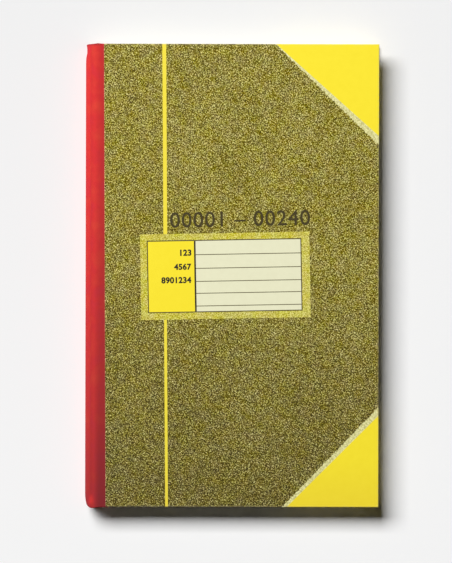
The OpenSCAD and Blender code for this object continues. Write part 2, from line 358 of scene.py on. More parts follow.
def fleck_inks(tree, place, stops, tail_shade):
    """The colour of a speckle whose inks are (level, colour) stops, and the noise that made it."""
    turned = add(tree, "ShaderNodeMapping", {"Vector": place, "Location": (0, 0, FLECK_DROP),
                 "Rotation": (0, 0, FLECK_TURN)})
    flecks = add(tree, "ShaderNodeTexNoise", {"Vector": turned.outputs[0], "Scale": 1 / FLECK, "Detail": FLECK_DETAIL,
                 "Roughness": FLECK_ROUGHNESS})
    clouds = add(tree, "ShaderNodeTexNoise", {"Vector": place, "Scale": 1 / CLOUD, "Detail": 2})
    drift = add(tree, "ShaderNodeMath", {0: clouds.outputs["Fac"], 1: CLOUD_SPAN, 2: -CLOUD_SPAN / 2},
                operation="MULTIPLY_ADD")
    at = add(tree, "ShaderNodeSeparateXYZ", {0: place})
    # painted shade: the flecks are darkened from EVEN_TO down to the tail
    painted_tail_shade = add(tree, "ShaderNodeMapRange", {"Value": at.outputs["Y"], "From Min": paper_low.y, "From Max": EVEN_TO,
                 "To Min": tail_shade, "To Max": 0})
    tone = add(tree, "ShaderNodeMath", {0: drift.outputs[0], 1: painted_tail_shade.outputs[0]})
    level = add(tree, "ShaderNodeMath", {0: flecks.outputs["Fac"], 1: tone.outputs[0]})
    ramp = add(tree, "ShaderNodeValToRGB", {"Fac": level.outputs[0]})
    inks = ramp.color_ramp.elements
    for spare in list(inks)[1:]:
        inks.remove(spare)
    for number, (where, colour) in enumerate(stops):
        ink = inks[0] if number == 0 else inks.new(where)
        ink.position = where
        ink.color = linear(colour)
    return ramp.outputs["Color"], flecks.outputs["Fac"]


print(f"flecks of {FLECK / MM:.2f} mm")

# %% [markdown]
# Close up, the inks of the photograph vary in patches of several millimetres: some a little greener or redder, some
# weaker. They also get weaker towards the tail. Hue/Saturation takes both, with 0.5 for an unchanged hue and 1 for an
# unchanged strength. The patches come from noises, which stay between NOISE_LOW and NOISE_HIGH for the most part.

# %% Uneven ink
NOISE_LOW, NOISE_HIGH = 0.3, 0.7
HUE_PATCH, INK_HUES = 5 * MM, (0.491, 0.509)
STRENGTH_PATCH, INK_STRENGTHS = 6.5 * MM, (0.87, 1.01)
FRESH_TO, TAIL_STRENGTH = 30 * MM, 0.9


def uneven_ink(tree, place, colour):
    """Shifts a colour's hue and strength in patches, and weakens it towards the tail."""
    hues = add(tree, "ShaderNodeTexNoise", {"Vector": place, "Scale": 1 / HUE_PATCH, "Detail": 2})
    hue = add(tree, "ShaderNodeMapRange", {"Value": hues.outputs["Fac"], "From Min": NOISE_LOW, "From Max": NOISE_HIGH,
              "To Min": INK_HUES[0], "To Max": INK_HUES[1]})
    films = add(tree, "ShaderNodeTexNoise", {"Vector": place, "Scale": 1 / STRENGTH_PATCH, "Detail": 1})
    film = add(tree, "ShaderNodeMapRange", {"Value": films.outputs["Fac"], "From Min": NOISE_LOW,
               "From Max": NOISE_HIGH, "To Min": INK_STRENGTHS[0], "To Max": INK_STRENGTHS[1]})
    at = add(tree, "ShaderNodeSeparateXYZ", {0: place})
    fresh = add(tree, "ShaderNodeMapRange", {"Value": at.outputs["Y"], "From Min": paper_low.y, "From Max": FRESH_TO,
                "To Min": TAIL_STRENGTH, "To Max": 1})
    strength = add(tree, "ShaderNodeMath", {0: film.outputs[0], 1: fresh.outputs[0]}, operation="MULTIPLY")
    return add(tree, "ShaderNodeHueSaturation", {"Hue": hue.outputs[0], "Saturation": strength.outputs[0],
               "Color": colour}).outputs[0]


print(f"patches of {HUE_PATCH / MM:.1f} mm in hue and {STRENGTH_PATCH / MM:.1f} mm in strength")

# %% [markdown]
# A speckled print puts these together: flecks, uneven ink, a pale band where there is one, and worn edges. A coated
# sheet is smooth, so the relief is slight and the gloss low and broad.

# %% Speckled prints
def speckled_print(name, stops, tail_shade, banded=False):
    material, tree = new_material(name)
    place = add(tree, "ShaderNodeTexCoord").outputs["Object"]
    inks, flecks = fleck_inks(tree, place, stops, tail_shade)
    printed = uneven_ink(tree, place, inks)
    if banded:
        printed = pale_band(tree, place, printed)
    relief = add(tree, "ShaderNodeBump", {"Height": flecks, "Strength": 0.08, "Distance": 0.05 * MM})
    shader = add(tree, "ShaderNodeBsdfPrincipled", {"Base Color": worn_edges(tree, place, printed), "Roughness": 0.5,
                 "IOR": 1.45, "Specular IOR Level": 0.08, "Normal": relief.outputs[0]})
    add(tree, "ShaderNodeOutputMaterial", {"Surface": shader.outputs[0]})
    print(f"{name}: {len(stops)} inks")
    return material


# The negative number given for each print darkens it towards the tail, as painted shade.
SPECKLE = [(0.384, "#2d2400"), (0.464, "#625400"), (0.534, "#978a00"), (0.639, "#eee58e")]
SPECKLE_TAIL_SHADE = -0.04
PALE_SPECKLE = [(0.37, "#8b7f00"), (0.5, "#cbc022"), (0.63, "#f1e986")]
PALE_TAIL_SHADE = -0.012
CUT_FIBRES = [(0.4, "#43360f"), (0.5, "#a07c3a"), (0.6, "#e8c088")]
CUT_TAIL_SHADE = -0.03

# A dull olive from afar that breaks up into dark and bright flecks close up.
speckle = speckled_print("Speckled offset print", SPECKLE, SPECKLE_TAIL_SHADE)
# The same print, ending at a torn-looking pale edge.
band_print = speckled_print("Speckled print with a pale band", SPECKLE, SPECKLE_TAIL_SHADE, banded=True)
# A lighter, livelier grain that sets the label off from the cover.
pale_speckle = speckled_print("Pale speckled print", PALE_SPECKLE, PALE_TAIL_SHADE)
# The bare core of a cut sheet: a thin broken line of buff and brown between print and cloth.
cut_edge = speckled_print("Cut paper edge", CUT_FIBRES, CUT_TAIL_SHADE)

# %% [markdown]
# The plain inks and papers are all fibrous sheets with a faint mottle: two near colours mixed by a noise of the fibre
# size, and a slight relief from the same noise. Real fibres are finer than a pixel, so the grain is drawn as coarse as
# the clouds that they form in a sheet, one to six millimetres. One function makes all of them, and each call is one
# real sheet.

# %% Plain papers and inks
def mottled(name, pale, deep, grain, roughness, relief_height, worn=False):
    material, tree = new_material(name)
    place = add(tree, "ShaderNodeTexCoord").outputs["Object"]
    fibres = add(tree, "ShaderNodeTexNoise", {"Vector": place, "Scale": 1 / grain, "Detail": 5, "Roughness": 0.6})
    colour = add(tree, "ShaderNodeMix", {0: fibres.outputs["Fac"], 6: linear(deep), 7: linear(pale)}, data_type="RGBA")
    shown = colour.outputs[2]
    if worn:
        shown = worn_edges(tree, place, browned_tail(tree, place, shown))
    relief = add(tree, "ShaderNodeBump", {"Height": fibres.outputs["Fac"], "Strength": 0.3, "Distance": relief_height})
    shader = add(tree, "ShaderNodeBsdfPrincipled", {"Base Color": shown, "Roughness": roughness,
                 "IOR": 1.45, "Specular IOR Level": 0.2, "Normal": relief.outputs[0]})
    add(tree, "ShaderNodeOutputMaterial", {"Surface": shader.outputs[0]})
    print(f"{name}: grain of {grain / MM:.1f} mm")
    return material


# A strong flat colour, only faintly clouded, that browns and scuffs where hands hold it.
yellow_print = mottled("Yellow offset print", "#fbe735", "#f5df2b", grain=6 * MM, roughness=0.45,
                       relief_height=0.02 * MM, worn=True)
# The same ink in a thinner film, so the paper below makes it paler and duller.
stripe_print = mottled("Thin yellow offset print", "#f4e148", "#eeda3e", grain=6 * MM, roughness=0.45,
                       relief_height=0.02 * MM, worn=True)
# A quiet field, nearly white with a breath of green-yellow.
cream_print = mottled("Cream printed paper", "#ecebc9", "#e3e1bf", grain=4 * MM, roughness=0.5,
                      relief_height=0.02 * MM)
# Fine lines that read as brown beside the black.
line_ink = mottled("Brown line ink", "#5a5230", "#4a4326", grain=2 * MM, roughness=0.5,
                   relief_height=0.01 * MM)
# A dense dark ink with a slight gloss.
black_ink = mottled("Black printing ink", "#2b261f", "#16130e", grain=2 * MM, roughness=0.45,
                    relief_height=0.01 * MM)
# An ink that covers badly: dark strokes with paler spots where the speckle comes through.
thin_ink = mottled("Thin brown-black ink", "#51471f", "#17130b", grain=0.9 * MM, roughness=0.5,
                   relief_height=0.01 * MM)
# A soft matt off-white, a little cloudy.
endpaper = mottled("Wove endpaper", "#f3f0e6", "#e8e4d6", grain=2.5 * MM, roughness=0.8,
                   relief_height=0.04 * MM)
# A rough dull grey with the grain of pulp.
greyboard = mottled("Grey pressboard", "#a8a296", "#8a8478", grain=1.5 * MM, roughness=0.85,
                    relief_height=0.08 * MM)
# A smooth matt buff with a fine grain.
buff_card = mottled("Buff card", "#cbb890", "#b8a47a", grain=1.5 * MM, roughness=0.8,
                    relief_height=0.04 * MM)
# A warm brown with darker fibres.
kraft = mottled("Kraft lining paper", "#a8804f", "#8f6a3f", grain=1.2 * MM, roughness=0.8,
                relief_height=0.04 * MM)

# %% [markdown]
# Book cloth is a starched plain weave. Its threads are about 0.4 mm apart, too fine to show, so they are drawn at 0.55
# mm: they break up the light in the photograph's view and show as a weave close up. Two waves, one along each thread
# direction, multiply to the crowns where threads cross, and slubs make some threads thicker. On the bent cloth the
# pattern follows the sheet's own UV map, in metres; the hidden gauze is flat enough for object coordinates. An
# attribute mixes in a dark red as painted shade, with less of it on a painted highlight, and broad weak patches shift
# its hue between crimson and scarlet.

# %% Woven cloth
SLUB, SLUB_SHARE = 4 * MM, 0.6
THREAD_WANDER = 0.6
DYE_PATCH = 14 * MM
DYE_HUES, DYE_LEVELS = (0.496, 0.503), (0.96, 1.04)


def woven(name, coordinates, pale, deep, shade_colour, pitch, relief_height):
    material, tree = new_material(name)
    place = add(tree, "ShaderNodeTexCoord").outputs[coordinates]
    # at scale 1 a wave repeats every pi / 10 metres
    wave = {"Vector": place, "Scale": math.pi / (10 * pitch), "Distortion": THREAD_WANDER}
    warp = add(tree, "ShaderNodeTexWave", wave, bands_direction="X")
    weft = add(tree, "ShaderNodeTexWave", wave, bands_direction="Y")
    crown = add(tree, "ShaderNodeMath", {0: warp.outputs["Fac"], 1: weft.outputs["Fac"]}, operation="MULTIPLY")
    slubs = add(tree, "ShaderNodeTexNoise", {"Vector": place, "Scale": 1 / SLUB, "Detail": 3})
    level = add(tree, "ShaderNodeMath", {0: slubs.outputs["Fac"], 1: SLUB_SHARE, 2: crown.outputs[0]},
                operation="MULTIPLY_ADD")
    colour = add(tree, "ShaderNodeMix", {0: level.outputs[0], 6: linear(deep), 7: linear(pale)}, data_type="RGBA")
    # painted shade: the attribute mixes in the dark red, with less of it on a painted highlight
    painted_shade = add(tree, "ShaderNodeAttribute", attribute_name="painted_shade")
    shaded = add(tree, "ShaderNodeMix", {0: painted_shade.outputs["Fac"], 6: colour.outputs[2], 7: linear(shade_colour)},
               data_type="RGBA")
    patches = add(tree, "ShaderNodeTexNoise", {"Vector": place, "Scale": 1 / DYE_PATCH, "Detail": 2})
    hue = add(tree, "ShaderNodeMapRange", {"Value": patches.outputs["Fac"], "From Min": NOISE_LOW,
              "From Max": NOISE_HIGH, "To Min": DYE_HUES[0], "To Max": DYE_HUES[1]})
    light = add(tree, "ShaderNodeMapRange", {"Value": patches.outputs["Fac"], "From Min": NOISE_LOW,
                "From Max": NOISE_HIGH, "To Min": DYE_LEVELS[0], "To Max": DYE_LEVELS[1]})
    dyed = add(tree, "ShaderNodeHueSaturation", {"Hue": hue.outputs[0], "Value": light.outputs[0],
               "Color": shaded.outputs[2]})
    relief = add(tree, "ShaderNodeBump", {"Height": crown.outputs[0], "Strength": 0.5, "Distance": relief_height})
    shader = add(tree, "ShaderNodeBsdfPrincipled", {"Base Color": dyed.outputs[0], "Roughness": 0.7, "IOR": 1.45,
                 "Specular IOR Level": 0.08, "Sheen Weight": 0.02, "Sheen Roughness": 0.4,
                 "Normal": relief.outputs[0]})
    add(tree, "ShaderNodeOutputMaterial", {"Surface": shader.outputs[0]})
    print(f"{name}: threads {pitch / MM:.2f} mm apart")
    return material


# A deep warm red with a fine grain, matt, and darker where shade is painted on it.
book_cloth = woven("Starched red book cloth", "UV", pale="#e23634", deep="#c42f2d", shade_colour="#82292b",
                   pitch=0.55 * MM, relief_height=0.06 * MM)
# An open, pale net of soft threads, about a millimetre apart.
gauze = woven("Bookbinding gauze", "Object", pale="#ece7d8", deep="#bfb8a4", shade_colour="#bfb8a4",
              pitch=1.2 * MM, relief_height=0.1 * MM)
# A pale cord with the fine ribs of its twist, drawn at 0.3 mm to show at all.
linen_thread = woven("Linen sewing thread", "Object", pale="#f0ece0", deep="#cfc9b8", shade_colour="#cfc9b8",
                     pitch=0.3 * MM, relief_height=0.05 * MM)

# %% [markdown]
# Page paper is a smooth cream wove with a printed ruling: pale blue rows 8 mm apart and a red double margin. It gives
# the eye a calm, matt page whose lines fade into it from afar. The leaves bend when they turn, so the ruling reads each
# point's place on the flat page, which the pages carry as an attribute, and not the place it has moved to. First the
# rows and the margin are found, each as 1 on a line and 0 beside it.

# %% Ruling of a page
leaf_low, leaf_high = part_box("leaf_1")
ROW_PITCH = 8 * MM
LINE_W = 0.3 * MM
MARGIN_X = leaf_low.x + 24 * MM
MARGIN_STEP = 1.2 * MM
HEAD_MARGIN = 34 * MM
PRINT_MARGIN = 1.5 * MM
PRINT_X1 = leaf_high.x - 6 * MM

ruled_paper, tree = new_material("Ruled ledger paper")
page_place = add(tree, "ShaderNodeAttribute", attribute_name="page_place")
on_page = add(tree, "ShaderNodeSeparateXYZ", {0: page_place.outputs["Vector"]})
row = add(tree, "ShaderNodeMath", {0: on_page.outputs["Y"], 1: ROW_PITCH}, operation="DIVIDE")
off_row = add(tree, "ShaderNodeMath", {0: row.outputs[0], 1: 0.5}, operation="PINGPONG")
row_line = add(tree, "ShaderNodeMath", {0: off_row.outputs[0], 1: LINE_W / ROW_PITCH / 2}, operation="LESS_THAN")
below_head = add(tree, "ShaderNodeMath", {0: on_page.outputs["Y"], 1: leaf_high.y - HEAD_MARGIN},
                 operation="LESS_THAN")
head_rows = add(tree, "ShaderNodeMath", {0: row_line.outputs[0], 1: below_head.outputs[0]}, operation="MULTIPLY")
before_edge = add(tree, "ShaderNodeMath", {0: on_page.outputs["X"], 1: PRINT_X1}, operation="LESS_THAN")
rows = add(tree, "ShaderNodeMath", {0: head_rows.outputs[0], 1: before_edge.outputs[0]}, operation="MULTIPLY")
margin_1 = add(tree, "ShaderNodeMath", {0: on_page.outputs["X"], 1: MARGIN_X, 2: LINE_W / 2}, operation="COMPARE")
margin_2 = add(tree, "ShaderNodeMath", {0: on_page.outputs["X"], 1: MARGIN_X + MARGIN_STEP, 2: LINE_W / 2},
               operation="COMPARE")
margin_pair = add(tree, "ShaderNodeMath", {0: margin_1.outputs[0], 1: margin_2.outputs[0]}, operation="MAXIMUM")
on_leaf = add(tree, "ShaderNodeMath", {0: on_page.outputs["Y"], 1: 0, 2: leaf_high.y - PRINT_MARGIN},
              operation="COMPARE")
margins = add(tree, "ShaderNodeMath", {0: margin_pair.outputs[0], 1: on_leaf.outputs[0]}, operation="MULTIPLY")
print(f"rows {ROW_PITCH / MM:.0f} mm apart, lines {LINE_W / MM:.1f} mm wide")

# %% [markdown]
# Then the paper itself gets a faint mottle from its fibres, and a second attribute gives each folded sheet its own
# slight tone, so that the edge of the block shows its single sheets. The inks of the ruling lie on top.

# %% Ruled page paper
PAGE_PALE, PAGE_DEEP = "#f4f0e2", "#e2dac2"
ROW_INK, MARGIN_INK = "#a9bfd0", "#d9918c"
PAGE_GRAIN, GRAIN_SHARE = 2 * MM, 0.4

sheet_tone = add(tree, "ShaderNodeAttribute", attribute_name="tone")
fibres = add(tree, "ShaderNodeTexNoise", {"Vector": page_place.outputs["Vector"], "Scale": 1 / PAGE_GRAIN, "Detail": 4})
mottle = add(tree, "ShaderNodeMath", {0: fibres.outputs["Fac"], 1: GRAIN_SHARE, 2: sheet_tone.outputs["Fac"]},
             operation="MULTIPLY_ADD")
paper = add(tree, "ShaderNodeMix", {0: mottle.outputs[0], 6: linear(PAGE_PALE), 7: linear(PAGE_DEEP)}, data_type="RGBA")
with_rows = add(tree, "ShaderNodeMix", {0: rows.outputs[0], 6: paper.outputs[2], 7: linear(ROW_INK)}, data_type="RGBA")
with_margin = add(tree, "ShaderNodeMix", {0: margins.outputs[0], 6: with_rows.outputs[2], 7: linear(MARGIN_INK)},
                  data_type="RGBA")
shader = add(tree, "ShaderNodeBsdfPrincipled", {"Base Color": with_margin.outputs[2], "Roughness": 0.8, "IOR": 1.45})
add(tree, "ShaderNodeOutputMaterial", {"Surface": shader.outputs[0]})
print("Nodes in the page paper:", len(tree.nodes))

# %% [markdown]
# ## Sheets that follow a path
# Cloth, card and joint papers are all strips bent in one direction, with their ends folded over or cut. A strip is made
# as a grid of points, column by column, and Solidify gives it its thickness on both sides of that grid. Where a column
# has no folded flap its rows there are left empty, and no faces are made.

# %% Strip builder
SHARP_FOLD = math.radians(60)


def strip_mesh(name, columns, thickness):
    """A thin sheet on columns of points, with a UV map that counts metres along the flat sheet."""
    bm = bmesh.new()
    uv = bm.loops.layers.uv.new("sheet")
    grid = [[co and bm.verts.new(co) for co in column] for column in columns]
    across = 0.0
    for left, right in zip(grid, grid[1:]):
        shared = [(a, b) for a, b in zip(left, right) if a and b]
        step = sum((b.co - a.co).length for a, b in shared) / len(shared)
        run = 0.0
        for i in range(len(left) - 1):
            corners = [left[i], right[i], right[i + 1], left[i + 1]]
            if all(corners):
                length = (left[i + 1].co - left[i].co).length
                face = bm.faces.new(corners)
                face.smooth = True
                places = [(across, run), (across + step, run), (across + step, run + length), (across, run + length)]
                for loop, place in zip(face.loops, places):
                    loop[uv].uv = place
                run += length
        across += step
    mesh = bpy.data.meshes.new(name)
    bm.to_mesh(mesh)
    bm.free()
    strip = plain_mesh(name, mesh, [("SOLIDIFY", {"thickness": thickness, "offset": 0, "use_even_offset": True})])
    strip.set_sharp_from_angle(angle=SHARP_FOLD)
    return strip


def turned_in(end, depth, flap, bend, runs=24, steps=5):
    """Places along a strip whose two ends fold over: (distance from the middle, depth below the outer face)."""
    quarter = [math.pi / 2 * i / steps for i in range(1, steps + 1)]
    half = [((end - bend) * math.sin(math.pi / 2 * i / runs), 0.0) for i in range(runs + 1)]
    half += [(end - bend + bend * math.sin(a), bend - bend * math.cos(a)) for a in quarter]
    half += [(end - bend + bend * math.cos(a), depth - bend + bend * math.sin(a)) for a in [0] + quarter]
    half.append((end - flap, depth))
    return [(-y, d) for y, d in reversed(half[1:])] + half


# %% [markdown]
# ## Wear of the cloth
# The photograph shows the spine's tail corner pushed in and rounded, its head drawn in below a small rim, and the cloth
# standing out a little below the tail at the joint. Short tables of (place, amount) in millimetres hold these
# observations, and straight lines between them are smooth enough for cloth. What is drawn in is counted from the end of
# the cloth, and what stands proud from the spine.

# %% Tables of wear
HEAD_DRAWN = ((0, 0.5), (1, 0.55), (2.2, 0.95), (6, 0.85), (10, 0))
TAIL_DRAWN = ((0, 1.9), (0.5, 1.25), (1.5, 0.85), (4, 0.35), (7, 0))
HEAD_PROUD = ((0, 0), (5, 0), (9, 0.5), (11, 0.3), (13, 0.2))
TAIL_PROUD = ((0, 0), (1.5, 0.2), (4, 1.2), (6, 1.3), (8, 0.9), (13, 0.6))
PROUD_REACH = 4 * MM

cloth_end = board_high.y - CLOTH_T / 2


def from_table(table, place):
    """The amount at a place in millimetres, read off straight lines between the table's points."""
    for (a, low), (b, high) in zip(table, table[1:]):
        if place <= b:
            return low + (high - low) * max(0, place - a) / (b - a)
    return table[-1][1]


def drawn_in(y):
    table = TAIL_DRAWN if y < 0 else HEAD_DRAWN
    return from_table(table, max(0, cloth_end - abs(y)) / MM) * MM


def stretched_out(x, y):
    """How far the end of the cloth is moved outwards, fading to nothing a few millimetres from the end."""
    table = TAIL_PROUD if y < 0 else HEAD_PROUD
    near_end = max(0, 1 - max(0, cloth_end - abs(y)) / PROUD_REACH)
    return math.copysign(from_table(table, (x - spine_low.x) / MM) * near_end * MM, y)


print(f"the tail of the spine is drawn in by {drawn_in(-cloth_end) / MM:.2f} mm")

# %% [markdown]
# The cloth is painted darker towards the tail and along the paper, as painted shade, and on the thin rim at the head
# too; a spot near the tail is painted brighter, as a painted highlight. Two tables, one for the head and one for the
# tail, say how much a point counts as lying by the paper, from the spine outwards, with a small painted shade at the
# crease. The result is stored as an attribute, which the cloth's material reads.

# %% Painted shade on the cloth
# painted shade across the cloth, in mm from the spine: a small dip at the crease, then full shade by the paper
HEAD_SHADE_ACROSS = ((0, 0), (2.4, 0), (4.3, 0.27), (6.2, 0), (9, 0), (12.5, 1))
TAIL_SHADE_ACROSS = ((0, 0), (2.4, 0), (4.3, 0.27), (6.2, 0), (6.5, 0), (10.5, 1))
SHADE_ON_SPINE, SHADE_BY_PAPER, SHADE_TO_TAIL = 0.1, 0.38, 0.64
RIM_W, RIM_SHADE = 1 * MM, 0.7
# a painted highlight: a bright spot near the tail of the spine
HIGHLIGHT_AT, HIGHLIGHT_SIZE, HIGHLIGHT_SHARE = (4.6, -160.5), (1.7, 3.2), 0.8


def paint_shade_on_cloth(mesh):
    """Stores how much painted shade each point gets: along the book, across to the paper, on the head's rim, less on a
    painted highlight.
    """
    painted_shade = mesh.attributes.new("painted_shade", "FLOAT", "POINT")
    for i, vertex in enumerate(mesh.vertices):
        along = min(1, max(0, (cloth_end - vertex.co.y) / (2 * cloth_end)))
        from_spine = (vertex.co.x - spine_low.x) / MM
        across = from_table(HEAD_SHADE_ACROSS, from_spine) * (1 - along) + from_table(TAIL_SHADE_ACROSS, from_spine) * along
        aside = (from_spine - HIGHLIGHT_AT[0]) / HIGHLIGHT_SIZE[0]
        beyond = (vertex.co.y / MM - HIGHLIGHT_AT[1]) / HIGHLIGHT_SIZE[1]
        # painted highlight near the tail
        rubbed = HIGHLIGHT_SHARE * math.exp(-aside ** 2 - beyond ** 2)
        # painted shade that grows towards the tail
        on_spine = SHADE_ON_SPINE + SHADE_TO_TAIL * along ** 2
        by_paper = SHADE_BY_PAPER + SHADE_TO_TAIL * along ** 2
        # painted shade on the head's rim
        rim = RIM_SHADE * max(0, 1 - max(0, cloth_end - vertex.co.y) / RIM_W) * (1 - across)
        shade_level = on_spine + (by_paper - on_spine) * across + rim
        painted_shade.data[i].value = shade_level * (1 - rubbed)


print(f"the spine's dullness goes from {SHADE_ON_SPINE} at the head to {SHADE_ON_SPINE + SHADE_TO_TAIL:.2f} at the tail")

# %% [markdown]
# ## Spine cloth
# The cloth on the spine lies on a round card and folds in over it at head and tail. Each point on the outer line moves
# inwards near the ends as the tables say, and the cloth at the creases stays where the covers meet it. The card inside
# gets the same wear, so that it never pokes through.

# %% Spine cloth and card
CLOTH_FLAP = 15 * MM
CARD_T = 0.4 * MM
ARC_COLUMNS = 30


def spine_columns(radius, half_angle, rows):
    columns = []
    for i in range(ARC_COLUMNS + 1):
        angle = half_angle * (2 * i / ARC_COLUMNS - 1)
        crown = max(0, (math.cos(angle) - math.cos(crease_angle)) / (1 - math.cos(crease_angle)))
        column = []
        for y, depth in rows:
            r = radius - depth - drawn_in(y) * crown
            x = spine_x - r * math.cos(angle)
            column.append((x, y + stretched_out(x, y), mid_z + r * math.sin(angle)))
        columns.append(column)
    return columns


cloth_fold = (CARD_T + CLOTH_T) / 2
cloth_rows = turned_in(cloth_end, CARD_T + CLOTH_T, CLOTH_FLAP, cloth_fold)
cloth_mesh = strip_mesh("spine_cloth_sheet", spine_columns(spine_r - CLOTH_T / 2, crease_angle, cloth_rows), CLOTH_T)
paint_shade_on_cloth(cloth_mesh)
spine_sheet = new_piece("spine_cloth_sheet", cloth_mesh, [book_cloth])
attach(spine_sheet, "text_block")
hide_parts("spine_cloth")

card_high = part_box("spine_card")[1]
card_r = spine_r - CLOTH_T - CARD_T / 2
card_angle = math.asin((card_high.z - mid_z) / (card_r + CARD_T / 2))
card_rows = [(y, 0.0) for y, depth in cloth_rows if depth == 0 and abs(y) <= card_high.y]
card_mesh = strip_mesh("spine_card_strip", spine_columns(card_r, card_angle, card_rows), CARD_T)
card_strip = new_piece("spine_card_strip", card_mesh, [buff_card])
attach(card_strip, "text_block")
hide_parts("spine_card")

# %% [markdown]
# ## Cloth on the covers
# From the crease the cloth climbs to the board, turns flat over a soft ridge and runs on under the printed paper. At
# the crease it is folded back on itself round the hinge line, so a cover can swing without the cloth parting from the
# spine. The path across the cloth is worked out once, for the front; the back is the same strip mirrored.

# %% Path across a wing
RIDGE_SET = 7.6 * MM
RIDGE_R = 8 * MM
RIDGE_STEPS = 5
BACK_FOLD = 1.2 * MM
ROLL = (270, 225, 180, 135, 90)
JOINT_SHARE = 0.3
SHOWN_SHARES = (0.3, 0.6, 0.85, 1)

wing_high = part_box("front_cloth_wing")[1]
half_t = CLOTH_T / 2
inner_z = board_low.z + half_t
flat_z = board_high.z - half_t
ridge_x = spine_low.x + RIDGE_SET
slope = math.atan2(flat_z - crease.z, ridge_x - crease.x)
up_slope = Vector((math.cos(slope), 0, math.sin(slope)))
off_slope = Vector((-math.sin(slope), 0, math.cos(slope)))


def across_wing():
    """Points across the cloth in X and Z, from the end of its back fold to its hidden edge under the paper."""
    points = [crease + up_slope * BACK_FOLD - off_slope * half_t]
    for turn in ROLL:
        angle = math.radians(turn)
        points.append(crease + half_t * (math.cos(angle) * up_slope + math.sin(angle) * off_slope))
    tangent = RIDGE_R * math.tan(slope / 2)
    start = Vector((ridge_x, 0, flat_z)) - up_slope * tangent
    board_share = (board_low.x - points[-1].x) / (start.x - points[-1].x)
    at_board = points[-1].lerp(start, board_share)
    points += [points[-1].lerp(at_board, JOINT_SHARE), at_board]
    centre = Vector((ridge_x + tangent, 0, flat_z - RIDGE_R))
    for i in range(RIDGE_STEPS + 1):
        angle = slope * (1 - i / RIDGE_STEPS)
        points.append(centre + RIDGE_R * Vector((-math.sin(angle), 0, math.cos(angle))))
    shown = paper_low.x - points[-1].x
    points += [Vector((points[-1].x + shown * share, 0, flat_z)) for share in SHOWN_SHARES]
    points.append(Vector((wing_high.x, 0, flat_z)))
    return points


wing_path = across_wing()

# %% [markdown]
# At head and tail the cloth turns in over the board, and over the joint it lies double. The rolled fold beside the
# hinge line has no turn-ins, where they would jam: its columns end at the edge of the cloth.

# %% Columns of a wing
EDGE_BEND = 0.45 * MM
OPEN_BEND = 0.05 * MM
JOINT_TURN = 0.4 * MM
JOINT_SLACK = 0.1 * MM


def wing_columns(turned):
    columns = []
    first_turned = crease.x + JOINT_SHARE * (board_low.x - crease.x) - JOINT_SLACK
    for point in wing_path:
        wrapped = point.x > first_turned
        over_board = point.x > board_low.x - NEAR
        depth = point.z - inner_z if over_board else JOINT_TURN
        bend = min(EDGE_BEND, depth / 2) if wrapped else OPEN_BEND
        column = []
        for y, down in turned_in(cloth_end, depth, CLOTH_FLAP, bend):
            z = point.z - down
            if down > 0 and not wrapped:
                column.append(None)
            else:
                column.append((point.x, y + stretched_out(point.x, y), book_t - z if turned else z))
        columns.append(column[::-1] if turned else column)
    return columns


# %% [markdown]
# With the front cover open, the inner side of the back fold would show as a red line between two papers. So it is
# lined with endpaper, on the faces that look squarely inwards and on the first of the roll. The back cover opens with
# its inside to the table, so there the roll stays red, and no pale line shows in the closed crease. Without turn-ins on
# the fold the cloth isn't cut to a full rectangle.

# %% Cloth wings
LINED_TILT = 0.75

for side, turned in (("front", False), ("back", True)):
    wing_mesh = strip_mesh(f"{side}_cloth_strip", wing_columns(turned), CLOTH_T)
    paint_shade_on_cloth(wing_mesh)
    wing = new_piece(f"{side}_cloth_strip", wing_mesh, [book_cloth, endpaper])
    inwards = 1 if turned else -1
    lined_from = crease.x - (0 if turned else half_t)
    for face in wing_mesh.polygons:
        by_hinge = lined_from < face.center.x < crease.x + BACK_FOLD + half_t
        face.material_index = int(by_hinge and face.normal.z * inwards > LINED_TILT)
    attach(wing, f"{side}_cover")
    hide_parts(f"{side}_cloth_wing")

# %% [markdown]
# ## Printed covers
# Each cover paper is one sheet with everything printed on it, laid about half a degree askew. The CAD node already has
# the right wrapped form, so a copy of its mesh is merged, and its outer edges are rounded as folded paper is. Its free
# edge over the cloth is then cut along a line that is askew too.

# %% Folded sheet
FOLD_R, FOLD_STEPS = 0.45 * MM, 4
MERGE = 0.001 * MM
CUT_SNAP = 1e-7
CUT_X, CUT_TURN = -90.65, 0.31


def folded_sheet(node):
    """A copy of a cover paper with its folded edges rounded and its free edge cut askew over the cloth."""
    bm = bmesh.new()
    bm.from_mesh(frame["nodes"][node].data)
    bmesh.ops.remove_doubles(bm, verts=bm.verts, dist=MERGE)
    bmesh.ops.dissolve_limit(bm, angle_limit=math.radians(1), verts=bm.verts, edges=bm.edges)
    low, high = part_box(node)
    folds = []
    for edge in bm.edges:
        middle = (edge.verts[0].co + edge.verts[1].co) / 2
        on_fore = abs(middle.x - high.x) < NEAR
        on_end = abs(abs(middle.y) - high.y) < NEAR
        on_face = min(abs(middle.z - low.z), abs(middle.z - high.z)) < NEAR
        if on_fore + on_end + on_face > 1:
            folds.append(edge)
    bmesh.ops.bevel(bm, geom=folds, offset=FOLD_R, segments=FOLD_STEPS, profile=0.5, affect="EDGES")
    turn = math.radians(CUT_TURN)
    left = Vector((-math.cos(turn), -math.sin(turn), 0))
    everything = list(bm.verts) + list(bm.edges) + list(bm.faces)
    cut = bmesh.ops.bisect_plane(bm, geom=everything, dist=CUT_SNAP, plane_co=(CUT_X * MM, 0, 0), plane_no=left,
                                 clear_outer=True)
    rim = [part for part in cut["geom_cut"] if isinstance(part, bmesh.types.BMEdge)]
    bmesh.ops.edgenet_fill(bm, edges=rim)
    for face in bm.faces:
        face.material_index = 0
        face.smooth = False
    return bm


# %% [markdown]
# The print could be one painted picture, but faces cut along the printed outlines, each with its own material, keep
# every printed edge sharp at any distance. A cut goes through all the faces it is given: through the whole sheet for
# the stripe and the corners, which run round the edges, and only through the outer face for the label.

# %% Cutting print into a sheet
INKS = [speckle, yellow_print, band_print, pale_speckle, line_ink, cream_print, black_ink, cut_edge, stripe_print]


